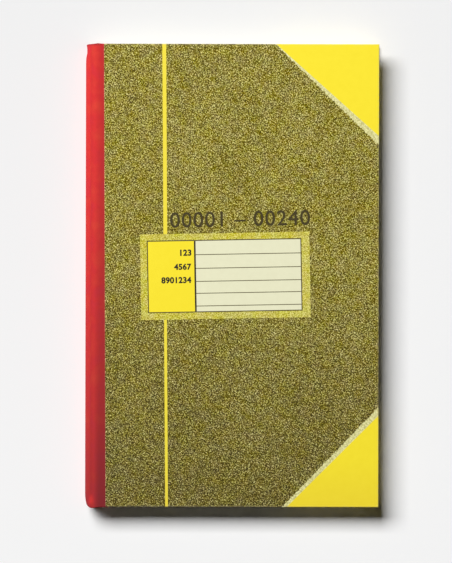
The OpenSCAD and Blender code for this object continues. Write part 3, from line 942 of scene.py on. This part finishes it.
def print_on(bm, faces, outline, ink):
    """Cuts the faces along each line of an outline, whose inside is on the left, and inks what lies inside."""
    for start, end in outline:
        along = Vector(end) - Vector(start)
        out = Vector((along.y, -along.x, 0)).normalized()
        at = Vector((start[0], start[1], 0))
        parts = set(faces)
        for face in faces:
            parts.update(face.edges)
            parts.update(face.verts)
        cut = bmesh.ops.bisect_plane(bm, geom=list(parts), dist=CUT_SNAP, plane_co=at, plane_no=out)
        faces = [f for f in cut["geom"] if isinstance(f, bmesh.types.BMFace)
                 and (f.calc_center_median() - at).dot(out) < 0]
    for face in faces:
        face.material_index = INKS.index(ink)
    return faces


def inked(bm, ink):
    return [face for face in bm.faces if face.material_index == INKS.index(ink)]


def turned_box(centre, size, turn):
    """The four lines of a rectangle in millimetres, turned by some degrees, with the inside on the left."""
    c, s = math.cos(math.radians(turn)), math.sin(math.radians(turn))
    half_w, half_h = size[0] / 2, size[1] / 2
    half = [(-half_w, -half_h), (half_w, -half_h), (half_w, half_h), (-half_w, half_h)]
    corners = [((centre[0] + x * c - y * s) * MM, (centre[1] + x * s + y * c) * MM) for x, y in half]
    return list(zip(corners, corners[1:] + corners[:1]))


print(f"{len(INKS)} inks and papers on a cover")

# %% [markdown]
# Places on the cover are millimetres from its middle. Each corner of the fore edge has a yellow triangle and a pale
# band beside it. The band is cut a margin outside its edge, and each point of the finished sheet stores how deep it
# lies inside that edge, for the ragged line that its material draws.

# %% Corners and their bands
HEAD_YELLOW = ((104.75, 99.3), (31.2, 165))
HEAD_BAND = ((104.75, 92.8), (30.5, 165))
TAIL_YELLOW = ((39.3, -165), (104.75, -99.6))
TAIL_BAND = ((36.1, -165), (104.75, -93.6))
CORNERS = ((HEAD_BAND, BAND_MARGIN, band_print), (HEAD_YELLOW, 0, yellow_print),
           (TAIL_BAND, BAND_MARGIN, band_print), (TAIL_YELLOW, 0, yellow_print))


def outside_of(line, margin):
    """A line in metres, moved outwards from the corner that it cuts off by a margin."""
    start, end = (Vector((x * MM, y * MM)) for x, y in line)
    along = (end - start).normalized()
    return [tuple(point + margin * Vector((-along.y, along.x))) for point in (start, end)]


def store_band_depth(mesh):
    """Stores how far each point lies inside the edge of the band at its end of the cover."""
    depth = mesh.attributes.new("in_band", "FLOAT", "POINT")
    for i, vertex in enumerate(mesh.vertices):
        start, end = outside_of(HEAD_BAND if vertex.co.y > 0 else TAIL_BAND, 0)
        along = (Vector(end) - Vector(start)).normalized()
        off = vertex.co.xy - Vector(start)
        depth.data[i].value = off.x * along.y - off.y * along.x


print(f"corners {HEAD_YELLOW[0][0] - HEAD_YELLOW[1][0]:.1f} and {TAIL_YELLOW[1][0] - TAIL_YELLOW[0][0]:.1f} mm wide")

# %% [markdown]
# The label is a pale speckled frame with a bordered panel in it: a yellow field for numbers, and a ruled field to write
# in. All of it runs a degree uphill, so places inside the panel are counted from its top left corner and then turned.
# It is printed from the outside inwards, and each later ink takes only what an earlier one has left cream.

# %% Label
LABEL_TURN = 1.15
FRAME_CENTRE, FRAME_SIZE = (-4.7, -0.3), (120.7, 61)
PANEL_CENTRE, PANEL_SIZE = (-5.15, -0.2), (108.7, 50.2)
BORDER_W = 0.75
DIVIDER_X, DIVIDER_W = 33.4, 1.2
RULE_PLACES, RULE_W = (9.8, 19.55, 28.85, 37.35, 46.4), 0.55
FACING_UP = 0.999


def in_panel(x, y):
    """A place measured in mm from the top left corner of the label's panel, as a place on the cover."""
    c, s = math.cos(math.radians(LABEL_TURN)), math.sin(math.radians(LABEL_TURN))
    right, up = x - PANEL_SIZE[0] / 2, PANEL_SIZE[1] / 2 - y
    return PANEL_CENTRE[0] + right * c - up * s, PANEL_CENTRE[1] + right * s + up * c


def print_label(bm):
    outer = [face for face in bm.faces if face.normal.z > FACING_UP and face.calc_center_median().z > flat_z]
    label = print_on(bm, outer, turned_box(FRAME_CENTRE, FRAME_SIZE, LABEL_TURN), pale_speckle)
    border = (PANEL_SIZE[0] + 2 * BORDER_W, PANEL_SIZE[1] + 2 * BORDER_W)
    panel = print_on(bm, label, turned_box(PANEL_CENTRE, border, LABEL_TURN), line_ink)
    print_on(bm, panel, turned_box(PANEL_CENTRE, PANEL_SIZE, LABEL_TURN), cream_print)
    middle = PANEL_SIZE[1] / 2
    divider = turned_box(in_panel(DIVIDER_X, middle), (DIVIDER_W, PANEL_SIZE[1]), LABEL_TURN)
    print_on(bm, inked(bm, cream_print), divider, black_ink)
    yellow_field = turned_box(in_panel(DIVIDER_X / 2, middle), (DIVIDER_X, PANEL_SIZE[1]), LABEL_TURN)
    print_on(bm, inked(bm, cream_print), yellow_field, yellow_print)
    field_w = PANEL_SIZE[0] - DIVIDER_X
    for place in RULE_PLACES:
        rule = turned_box(in_panel(DIVIDER_X + field_w / 2, place), (field_w, RULE_W), LABEL_TURN)
        print_on(bm, inked(bm, cream_print), rule, line_ink)
    print(f"label of {FRAME_SIZE[0]} x {FRAME_SIZE[1]} mm with {len(RULE_PLACES)} rules")


# %% [markdown]
# The stripe runs from head to tail and is narrower below the label, so it is printed in two halves that meet where the
# label covers them. The bare cut edge follows, and then the label. The back cover has the stripe and the corners only,
# mirrored, as the sheet would be.

# %% Printing both covers
STRIPE_TURN = 0.45
UPPER_STRIPE, LOWER_STRIPE = (-47.3, 2.75), (-47.5, 2.0)
CUT_W = 0.45

cover_mm = paper_high.y / MM
for side in ("front", "back"):
    sheet = folded_sheet(f"{side}_cover_paper")
    for line, margin, ink in CORNERS:
        print_on(sheet, list(sheet.faces), [outside_of(line, margin)[::-1]], ink)
    lower_stripe = LOWER_STRIPE if side == "front" else UPPER_STRIPE
    for (x, width), y in ((UPPER_STRIPE, cover_mm), (lower_stripe, -cover_mm)):
        middle = (x - y * math.tan(math.radians(STRIPE_TURN)), y)
        print_on(sheet, list(sheet.faces), turned_box(middle, (width, 2 * cover_mm), STRIPE_TURN), stripe_print)
    edge = turned_box((CUT_X, 0), (2 * CUT_W, 3 * cover_mm), CUT_TURN)
    print_on(sheet, list(sheet.faces), edge, cut_edge)
    if side == "front":
        print_label(sheet)
    sheet_mesh = bpy.data.meshes.new(f"{side}_printed_cover")
    sheet.to_mesh(sheet_mesh)
    sheet.free()
    store_band_depth(sheet_mesh)
    cover = new_piece(f"{side}_printed_cover", sheet_mesh, INKS)
    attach(cover, f"{side}_cover")
    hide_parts(f"{side}_cover_paper")

# %% [markdown]
# ## Numerals
# The book counts its own pages: the first and the last page number stand above the label, and the label's yellow field
# holds three plain numbers. Text starts as a curve. A flat bevel makes its strokes bolder, extrusion gives it a film's
# thickness, and it becomes a mesh before it is moved into place. The film lies in the paper's surface and stands a few
# hundredths of a millimetre out of it, like a thick coat of ink.

# %% Numerals on the cover
INK_FILM = 0.02 * MM
PAGE_COUNT = 240
FIELD_NUMBERS = (("123", 13.9), ("4567", 3.9), ("8901234", -5.6))


def numerals(name, text, right, base, height, spacing, boldness, turn, ink):
    """Digits on the front cover, whose lower right corner is at (right, base) in mm, turned by some degrees."""
    curve = bpy.data.curves.new(name, "FONT")
    curve.body = text
    curve.align_x = "RIGHT"
    curve.size = 1
    curve.bevel_depth = boldness
    curve.bevel_resolution = 0
    curve.space_character = spacing
    curve.extrude = INK_FILM
    mesh = plain_mesh(name, curve, [])
    low_y = min(v.co.y for v in mesh.vertices)
    tall = max(v.co.y for v in mesh.vertices) - low_y
    far_x = max(v.co.x for v in mesh.vertices)
    c, s = math.cos(math.radians(turn)), math.sin(math.radians(turn))
    for vertex in mesh.vertices:
        x = (vertex.co.x - far_x) * height * MM / tall
        y = (vertex.co.y - low_y) * height * MM / tall
        film_z = paper_high.z + math.copysign(INK_FILM, vertex.co.z)
        vertex.co = (right * MM + x * c - y * s, base * MM + x * s + y * c, film_z)
    piece = new_piece(name, mesh, [ink])
    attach(piece, "front_cover")


numerals("page_numerals", f"{1:05d} – {PAGE_COUNT:05d}", right=55.7, base=36.0, height=11.0, spacing=1.08,
         boldness=0.008, turn=1.3, ink=thin_ink)
for number, (text, base) in enumerate(FIELD_NUMBERS, start=1):
    numerals(f"heading_numerals_{number}", text, right=-28.9, base=base, height=4.6, spacing=1.06,
             boldness=0.042, turn=LABEL_TURN, ink=black_ink)

# %% [markdown]
# ## Folded sections
# A sewn book is a stack of folded sheets: six sheets, one inside the other, make a section of twelve leaves, and ten
# sections make the block. That is a rule, so Geometry Nodes build it. One line of points becomes a sheet seen from its
# edge, bent into a U; copies of it get smaller radii; a rectangle swept along it gives the sheet its height and
# thickness; and the section is repeated down the block. Rounding moves the folds onto the arc of the spine, and the
# other ends follow, which gives the fore edge its hollow. The first section is made by the same tree with its three
# outer leaves cut short, because those leaves turn on their own.

# %% Tree for the sections
SECTIONS, SHEETS, LOOSE_LEAVES = 10, 6, 3
POINTS = 14
SEED = 7
TONE_SPAN = 0.5

pages_tree = bpy.data.node_groups.new("Folded sections", "GeometryNodeTree")
pages_tree.is_modifier = True
page_inputs = {}
pages_tree.interface.new_socket("Geometry", in_out="INPUT", socket_type="NodeSocketGeometry")
for name in ("Sections", "Sheets", "Loose Leaves"):
    page_inputs[name] = pages_tree.interface.new_socket(name, in_out="INPUT", socket_type="NodeSocketInt").identifier
for name in ("Section Thickness", "First Height", "Leaf Pitch", "Inner Pitch", "Loose Pitch", "Leaf Thickness",
             "Page Width", "Page Height", "Stub Length", "Stub Step", "Spine Middle", "Mid Height", "Fold Arc",
             "Rounding Reach", "Unevenness"):
    page_inputs[name] = pages_tree.interface.new_socket(name, in_out="INPUT", socket_type="NodeSocketFloat").identifier
pages_tree.interface.new_socket("Pages", in_out="OUTPUT", socket_type="NodeSocketGeometry")
given = add(pages_tree, "NodeGroupInput").outputs
print("Tree inputs:", list(page_inputs))

# %% [markdown]
# First the U of each sheet. Counted from the outside, a sheet's radius is its place in the section times the pitch of
# the leaves. The radius may differ between the upper and the lower leaf, and goes smoothly from one to the other round
# the fold. The first and the last point of the line are the page's two free edges.

# %% One folded sheet
line = add(pages_tree, "GeometryNodeCurvePrimitiveLine")
points = add(pages_tree, "GeometryNodeResampleCurve", {"Curve": line.outputs[0], "Count": POINTS})
copies = add(pages_tree, "GeometryNodeDuplicateElements", {"Geometry": points.outputs[0], "Amount": given["Sheets"]},
             domain="SPLINE")
level = copies.outputs["Duplicate Index"]
index = add(pages_tree, "GeometryNodeSplineParameter").outputs["Index"]
ends = add(pages_tree, "GeometryNodeCurveEndpointSelection")
inside = add(pages_tree, "ShaderNodeMath", {0: given["Sheets"], 1: level}, operation="SUBTRACT")
place_in = add(pages_tree, "ShaderNodeMath", {0: inside.outputs[0], 1: 0.5}, operation="SUBTRACT")
outermost = add(pages_tree, "ShaderNodeMath", {0: given["Sheets"], 1: 0.5}, operation="SUBTRACT")
lower_r = add(pages_tree, "ShaderNodeMath", {0: place_in.outputs[0], 1: given["Leaf Pitch"]}, operation="MULTIPLY")
inner_r = add(pages_tree, "ShaderNodeMath", {0: place_in.outputs[0], 1: given["Inner Pitch"]}, operation="MULTIPLY")
outer_r = add(pages_tree, "ShaderNodeMath", {0: outermost.outputs[0], 1: given["Leaf Pitch"]}, operation="MULTIPLY")
drop = add(pages_tree, "ShaderNodeMath", {0: level, 1: given["Loose Pitch"]}, operation="MULTIPLY")
loose_r = add(pages_tree, "ShaderNodeMath", {0: outer_r.outputs[0], 1: drop.outputs[0]}, operation="SUBTRACT")
is_loose = add(pages_tree, "ShaderNodeMath", {0: level, 1: given["Loose Leaves"]}, operation="LESS_THAN")
upper_r = add(pages_tree, "ShaderNodeMix", {0: is_loose.outputs[0], 2: inner_r.outputs[0], 3: loose_r.outputs[0]})
turn = add(pages_tree, "ShaderNodeMapRange", {"Value": index, "From Min": 1, "From Max": POINTS - 2, "To Max": math.pi})
radius = add(pages_tree, "ShaderNodeMapRange", {"Value": turn.outputs[0], "From Max": math.pi,
             "To Min": upper_r.outputs[0], "To Max": lower_r.outputs[0]})
cosine = add(pages_tree, "ShaderNodeMath", {0: turn.outputs[0]}, operation="COSINE")
sine = add(pages_tree, "ShaderNodeMath", {0: turn.outputs[0]}, operation="SINE")
height = add(pages_tree, "ShaderNodeMath", {0: radius.outputs[0], 1: cosine.outputs[0]}, operation="MULTIPLY")
back = add(pages_tree, "ShaderNodeMath", {0: radius.outputs[0], 1: sine.outputs[0]}, operation="MULTIPLY")
fold = add(pages_tree, "ShaderNodeMath", {0: back.outputs[0], 1: -1}, operation="MULTIPLY")
is_first = add(pages_tree, "ShaderNodeMath", {0: index, 1: 0.5}, operation="LESS_THAN")
is_stub = add(pages_tree, "ShaderNodeMath", {0: is_first.outputs[0], 1: is_loose.outputs[0]}, operation="MULTIPLY")
stub = add(pages_tree, "ShaderNodeMath", {0: level, 1: given["Stub Step"], 2: given["Stub Length"]},
           operation="MULTIPLY_ADD")
free_edge = add(pages_tree, "ShaderNodeMix", {0: is_stub.outputs[0], 2: given["Page Width"], 3: stub.outputs[0]})
out = add(pages_tree, "ShaderNodeMix", {0: ends.outputs[0], 2: fold.outputs[0], 3: free_edge.outputs[0]})
bent_place = add(pages_tree, "ShaderNodeCombineXYZ", {"X": out.outputs[0], "Z": height.outputs[0]})
bent = add(pages_tree, "GeometryNodeSetPosition", {"Geometry": copies.outputs[0], "Position": bent_place.outputs[0]})
edge = add(pages_tree, "GeometryNodeCurvePrimitiveQuadrilateral", {"Width": given["Page Height"],
           "Height": given["Leaf Thickness"]})
folded = add(pages_tree, "GeometryNodeCurveToMesh", {"Curve": bent.outputs[0], "Profile Curve": edge.outputs[0],
             "Fill Caps": True})

# %% [markdown]
# Then the stack. The section is repeated downwards and made real. Each point moves by the arc of the spine at its own
# level: at the fold that is the level of its section, so that every fold keeps its shape, and towards the free edges
# it is the level of the point itself. A little unevenness for each sheet keeps the head and the fore edge from looking
# machined. The tone and the place on the page are stored for the paper's material.

# %% The stack of sections
start = add(pages_tree, "ShaderNodeCombineXYZ", {"Z": given["First Height"]})
down = add(pages_tree, "ShaderNodeMath", {0: given["Section Thickness"], 1: -1}, operation="MULTIPLY")
step = add(pages_tree, "ShaderNodeCombineXYZ", {"Z": down.outputs[0]})
stations = add(pages_tree, "GeometryNodeMeshLine", {"Count": given["Sections"], "Start Location": start.outputs[0],
               "Offset": step.outputs[0]})
stack = add(pages_tree, "GeometryNodeInstanceOnPoints", {"Points": stations.outputs[0], "Instance": folded.outputs[0]})
real = add(pages_tree, "GeometryNodeRealizeInstances", {"Geometry": stack.outputs[0]})

position = add(pages_tree, "GeometryNodeInputPosition")
at = add(pages_tree, "ShaderNodeSeparateXYZ", {0: position.outputs[0]})
outward = add(pages_tree, "ShaderNodeMapRange", {"Value": at.outputs["X"], "From Max": given["Page Width"]})
below = add(pages_tree, "ShaderNodeMath", {0: given["First Height"], 1: at.outputs["Z"]}, operation="SUBTRACT")
in_sections = add(pages_tree, "ShaderNodeMath", {0: below.outputs[0], 1: given["Section Thickness"]},
                  operation="DIVIDE")
number = add(pages_tree, "ShaderNodeMath", {0: in_sections.outputs[0]}, operation="ROUND")
fallen = add(pages_tree, "ShaderNodeMath", {0: number.outputs[0], 1: given["Section Thickness"]},
             operation="MULTIPLY")
section_z = add(pages_tree, "ShaderNodeMath", {0: given["First Height"], 1: fallen.outputs[0]}, operation="SUBTRACT")
level_z = add(pages_tree, "ShaderNodeMix", {0: outward.outputs[0], 2: section_z.outputs[0], 3: at.outputs["Z"]})
off_mid = add(pages_tree, "ShaderNodeMath", {0: level_z.outputs[0], 1: given["Mid Height"]}, operation="SUBTRACT")
off_size = add(pages_tree, "ShaderNodeMath", {0: off_mid.outputs[0]}, operation="ABSOLUTE")
reached = add(pages_tree, "ShaderNodeMath", {0: off_size.outputs[0], 1: given["Rounding Reach"]}, operation="MINIMUM")
reached_2 = add(pages_tree, "ShaderNodeMath", {0: reached.outputs[0], 1: 2}, operation="POWER")
arc_2 = add(pages_tree, "ShaderNodeMath", {0: given["Fold Arc"], 1: 2}, operation="POWER")
left_2 = add(pages_tree, "ShaderNodeMath", {0: arc_2.outputs[0], 1: reached_2.outputs[0]}, operation="SUBTRACT")
rise = add(pages_tree, "ShaderNodeMath", {0: left_2.outputs[0]}, operation="SQRT")
rounding = add(pages_tree, "ShaderNodeMath", {0: given["Spine Middle"], 1: rise.outputs[0]}, operation="SUBTRACT")

island = add(pages_tree, "GeometryNodeInputMeshIsland")
wander = add(pages_tree, "FunctionNodeRandomValue", {0: (-1, -1, -1), 1: (1, 1, 1), 7: island.outputs["Island Index"],
             8: SEED}, data_type="FLOAT_VECTOR")
uneven = add(pages_tree, "ShaderNodeSeparateXYZ", {0: wander.outputs[0]})
uneven_y = add(pages_tree, "ShaderNodeMath", {0: uneven.outputs["Y"], 1: given["Unevenness"]}, operation="MULTIPLY")
uneven_x = add(pages_tree, "ShaderNodeMath", {0: uneven.outputs["X"], 1: given["Unevenness"]}, operation="MULTIPLY")
uneven_out = add(pages_tree, "ShaderNodeMath", {0: uneven_x.outputs[0], 1: outward.outputs[0]}, operation="MULTIPLY")
shift_x = add(pages_tree, "ShaderNodeMath", {0: rounding.outputs[0], 1: uneven_out.outputs[0]})
shift = add(pages_tree, "ShaderNodeCombineXYZ", {"X": shift_x.outputs[0], "Y": uneven_y.outputs[0]})
rounded = add(pages_tree, "GeometryNodeSetPosition", {"Geometry": real.outputs[0], "Offset": shift.outputs[0]})
tone = add(pages_tree, "FunctionNodeRandomValue", {2: 0.0, 3: TONE_SPAN, 7: island.outputs["Island Index"],
           8: SEED + 1}, data_type="FLOAT")
toned = add(pages_tree, "GeometryNodeStoreNamedAttribute", {"Geometry": rounded.outputs[0], "Name": "tone",
            "Value": tone.outputs[1]}, data_type="FLOAT", domain="POINT")
placed = add(pages_tree, "GeometryNodeStoreNamedAttribute", {"Geometry": toned.outputs[0], "Name": "page_place",
             "Value": position.outputs[0]}, data_type="FLOAT_VECTOR", domain="POINT")
papered = add(pages_tree, "GeometryNodeSetMaterial", {"Geometry": placed.outputs[0], "Material": ruled_paper})
add(pages_tree, "NodeGroupOutput", {0: papered.outputs[0]})
print("Nodes in the tree:", len(pages_tree.nodes))

# %% [markdown]
# The tree now makes the first section and the other nine. All sizes come from the boxes of the CAD sections: the arc of
# the folds follows from the first fold, because every fold lies on one circle round the middle of the spine. A leaf
# fills most of its share of the section, and the gap that is left shows as a fine dark line at the block's edges.

# %% Sections
STUB_GAP = 0.3 * MM
UNEVEN = 0.08 * MM
FIRST_FILL, OTHER_FILL = 0.85, 0.88

first_low, first_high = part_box("section_1")
section_t = first_high.z - first_low.z
fold_r = section_t / 2
first_z = (first_low.z + first_high.z) / 2
fold_x = first_low.x + fold_r
fold_arc = math.hypot(spine_x - fold_x, first_z - mid_z)
leaf_pitch = section_t / (2 * SHEETS)
leaf_t = leaf_high.z - leaf_low.z
leaf_gap = leaf_low.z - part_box("leaf_2")[1].z
room_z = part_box("leaf_3")[0].z - leaf_gap
bend_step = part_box("leaf_2")[0].x - leaf_low.x
inner_pitch = (room_z - first_z) / (SHEETS - LOOSE_LEAVES)
shared = {
    "Sheets": SHEETS,
    "Section Thickness": section_t,
    "Leaf Pitch": leaf_pitch,
    "Loose Pitch": leaf_t + leaf_gap,
    "Page Width": first_high.x - fold_x,
    "Page Height": first_high.y - first_low.y,
    "Stub Length": hinge["leaf_1_turn"].x - STUB_GAP - fold_x,
    "Stub Step": bend_step,
    "Spine Middle": spine_x,
    "Mid Height": mid_z,
    "Fold Arc": fold_arc,
    "Rounding Reach": first_z - mid_z,
    "Unevenness": UNEVEN,
}
first_section = {"Sections": 1, "First Height": first_z, "Loose Leaves": LOOSE_LEAVES, "Inner Pitch": inner_pitch,
                 "Leaf Thickness": FIRST_FILL * inner_pitch}
other_sections = {"Sections": SECTIONS - 1, "First Height": first_z - section_t, "Loose Leaves": 0,
                  "Inner Pitch": leaf_pitch, "Leaf Thickness": OTHER_FILL * leaf_pitch}
for name, own in (("first_section_pages", first_section), ("other_section_pages", other_sections)):
    settings = {"node_group": pages_tree}
    settings.update({page_inputs[key]: value for key, value in {**shared, **own}.items()})
    pages_mesh = plain_mesh(name, bpy.data.meshes.new(name), [("NODES", settings)])
    pages = new_piece(name, pages_mesh)
    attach(pages, "text_block")
    numbers = [1] if own["Sections"] == 1 else range(2, SECTIONS + 1)
    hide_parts(*[f"section_{n}" for n in numbers])

# %% [markdown]
# ## Leaves that turn
# The loose endpaper and the first three leaves can be turned. A leaf is a thin grid, fine near its bend. It is a
# little thinner than the CAD leaf, and so lies clear of its neighbours.

# %% Turning leaves
CURL = 14 * MM
FINE_REACH = 1.3 * CURL
FINE_COLUMNS, FAR_COLUMNS, LEAF_ROWS = 16, 6, 4
CLEAR = 0.9
LEAF_TONE = 0.2


def leaf_mesh(name, low, high, bend_x):
    x0 = bend_x - STUB_GAP
    near = [x0 + FINE_REACH * i / FINE_COLUMNS for i in range(FINE_COLUMNS + 1)]
    far = [near[-1] + (high.x - near[-1]) * i / FAR_COLUMNS for i in range(1, FAR_COLUMNS + 1)]
    middle_z = (low.z + high.z) / 2
    ys = [low.y + (high.y - low.y) * i / LEAF_ROWS for i in range(LEAF_ROWS + 1)]
    columns = [[(x, y, middle_z) for y in ys] for x in near + far]
    mesh = strip_mesh(name, columns, CLEAR * (high.z - low.z))
    mesh.attributes.new("page_place", "FLOAT_VECTOR", "POINT")
    mesh.attributes.new("tone", "FLOAT", "POINT")
    for i, vertex in enumerate(mesh.vertices):
        mesh.attributes["page_place"].data[i].vector = vertex.co
        mesh.attributes["tone"].data[i].value = LEAF_TONE
    return mesh


turning = [("front_flyleaf", "flyleaf_turn", "endpaper", endpaper)]
for number in range(1, LOOSE_LEAVES + 1):
    turning.append((f"leaf_{number}", f"leaf_{number}_turn", "page_paper", ruled_paper))
for node, joint, slot, material in turning:
    low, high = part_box(node)
    bend = hinge[joint]
    leaf = new_piece(f"{node}_sheet", leaf_mesh(f"{node}_sheet", low, high, bend.x), [material])
    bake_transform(leaf)
    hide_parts(node)

# %% [markdown]
# ## Paper and gauze in the joints
# The endpaper is one sheet: half of it is pasted to the board and half is the first loose leaf, and between them it
# covers the joint. It folds exactly on the hinge line, so it is made as two strips that meet there, one on the cover
# and one on the block. With the book closed they lie folded on each other, and with a cover open they make one slope
# from the board down to the pages. Their paths are millimetres outwards and upwards from the hinge line.

# %% Joint papers
tip_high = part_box("front_endpaper_tip")[1]
JOINT_PAPER_T = 0.1 * MM
HALF_ROWS = 4
ON_COVER = ((1.33, -0.96), (1.13, -0.6), (0.78, -0.25), (0.41, -0.22))
ON_BLOCK = ((1.06, -1.08), (0.62, -0.62), (0.28, -0.25))


def flat_columns(path, half_length):
    ys = [half_length * (i / HALF_ROWS - 1) for i in range(2 * HALF_ROWS + 1)]
    return [[(x, y, z) for y in ys] for x, z in path]


for side, turned in (("front", False), ("back", True)):
    for part, body, steps in (("joint_paper", f"{side}_cover", ON_COVER), ("joint_tip", "text_block", ON_BLOCK)):
        path = []
        for out, up in steps:
            z = crease.z + up * MM
            path.append((crease.x + out * MM, book_t - z if turned else z))
        strip = strip_mesh(f"{side}_{part}", flat_columns(path, tip_high.y), JOINT_PAPER_T)
        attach(new_piece(f"{side}_{part}", strip, [endpaper]), body)

# %% [markdown]
# Gauze is an open cloth, glued round the folds of the sections and under the pasted half of each endpaper. It ties the
# block to the boards. It hardly shows, but it is cloth, so it is made as three thin strips with their own weave.

# %% Gauze
MULL_HALF_ROWS, FLAP_COLUMNS = 6, 4

mull_low, mull_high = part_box("mull")
flap_low, flap_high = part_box("front_mull_flap")
gauze_t = flap_high.z - flap_low.z
mull_r = spine_x - mull_low.x
mull_angle = math.asin((mull_high.z - mid_z) / mull_r)
mull_rows = [(mull_high.y * (i / MULL_HALF_ROWS - 1), 0.0) for i in range(2 * MULL_HALF_ROWS + 1)]
mull_columns = spine_columns(mull_r - gauze_t / 2, mull_angle, mull_rows)
gauze_strips = [("mull", "text_block", mull_columns, (2 * mull_angle * mull_r, 2 * mull_high.y), "spine_lining")]
for side in ("front", "back"):
    low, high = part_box(f"{side}_mull_flap")
    path = [(low.x + (high.x - low.x) * i / FLAP_COLUMNS, (low.z + high.z) / 2) for i in range(FLAP_COLUMNS + 1)]
    gauze_strips.append((f"{side}_mull_flap", f"{side}_cover", flat_columns(path, high.y),
                         (high.x - low.x, 2 * high.y), f"{side}_board"))
for node, body, columns, flat, under in gauze_strips:
    strip = new_piece(f"{node}_gauze", strip_mesh(f"{node}_gauze", columns, CLEAR * gauze_t), [gauze])
    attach(strip, body)
    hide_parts(node)

# %% [markdown]
# ## Pieces that keep their CAD form
# Boards, linings and papers inside the book are flat or plainly bent, so their CAD form is right and only their finish
# is missing. Each gets the material that it is made of.

# %% Finishes of the plain pieces
finishes = {
    "board": greyboard,
    "pastedown": endpaper,
    "spine_lining": kraft,
    "sewing_thread": linen_thread,
    "front_endpaper_tip": endpaper,
    "back_flyleaf": endpaper,
}
for name, node in frame["nodes"].items():
    kind = name.removeprefix("front_").removeprefix("back_")
    material = finishes.get(name) or finishes.get(kind)
    if material:
        for holder in node.material_slots:
            holder.material = material
        print(f"{name}: {material.name}")
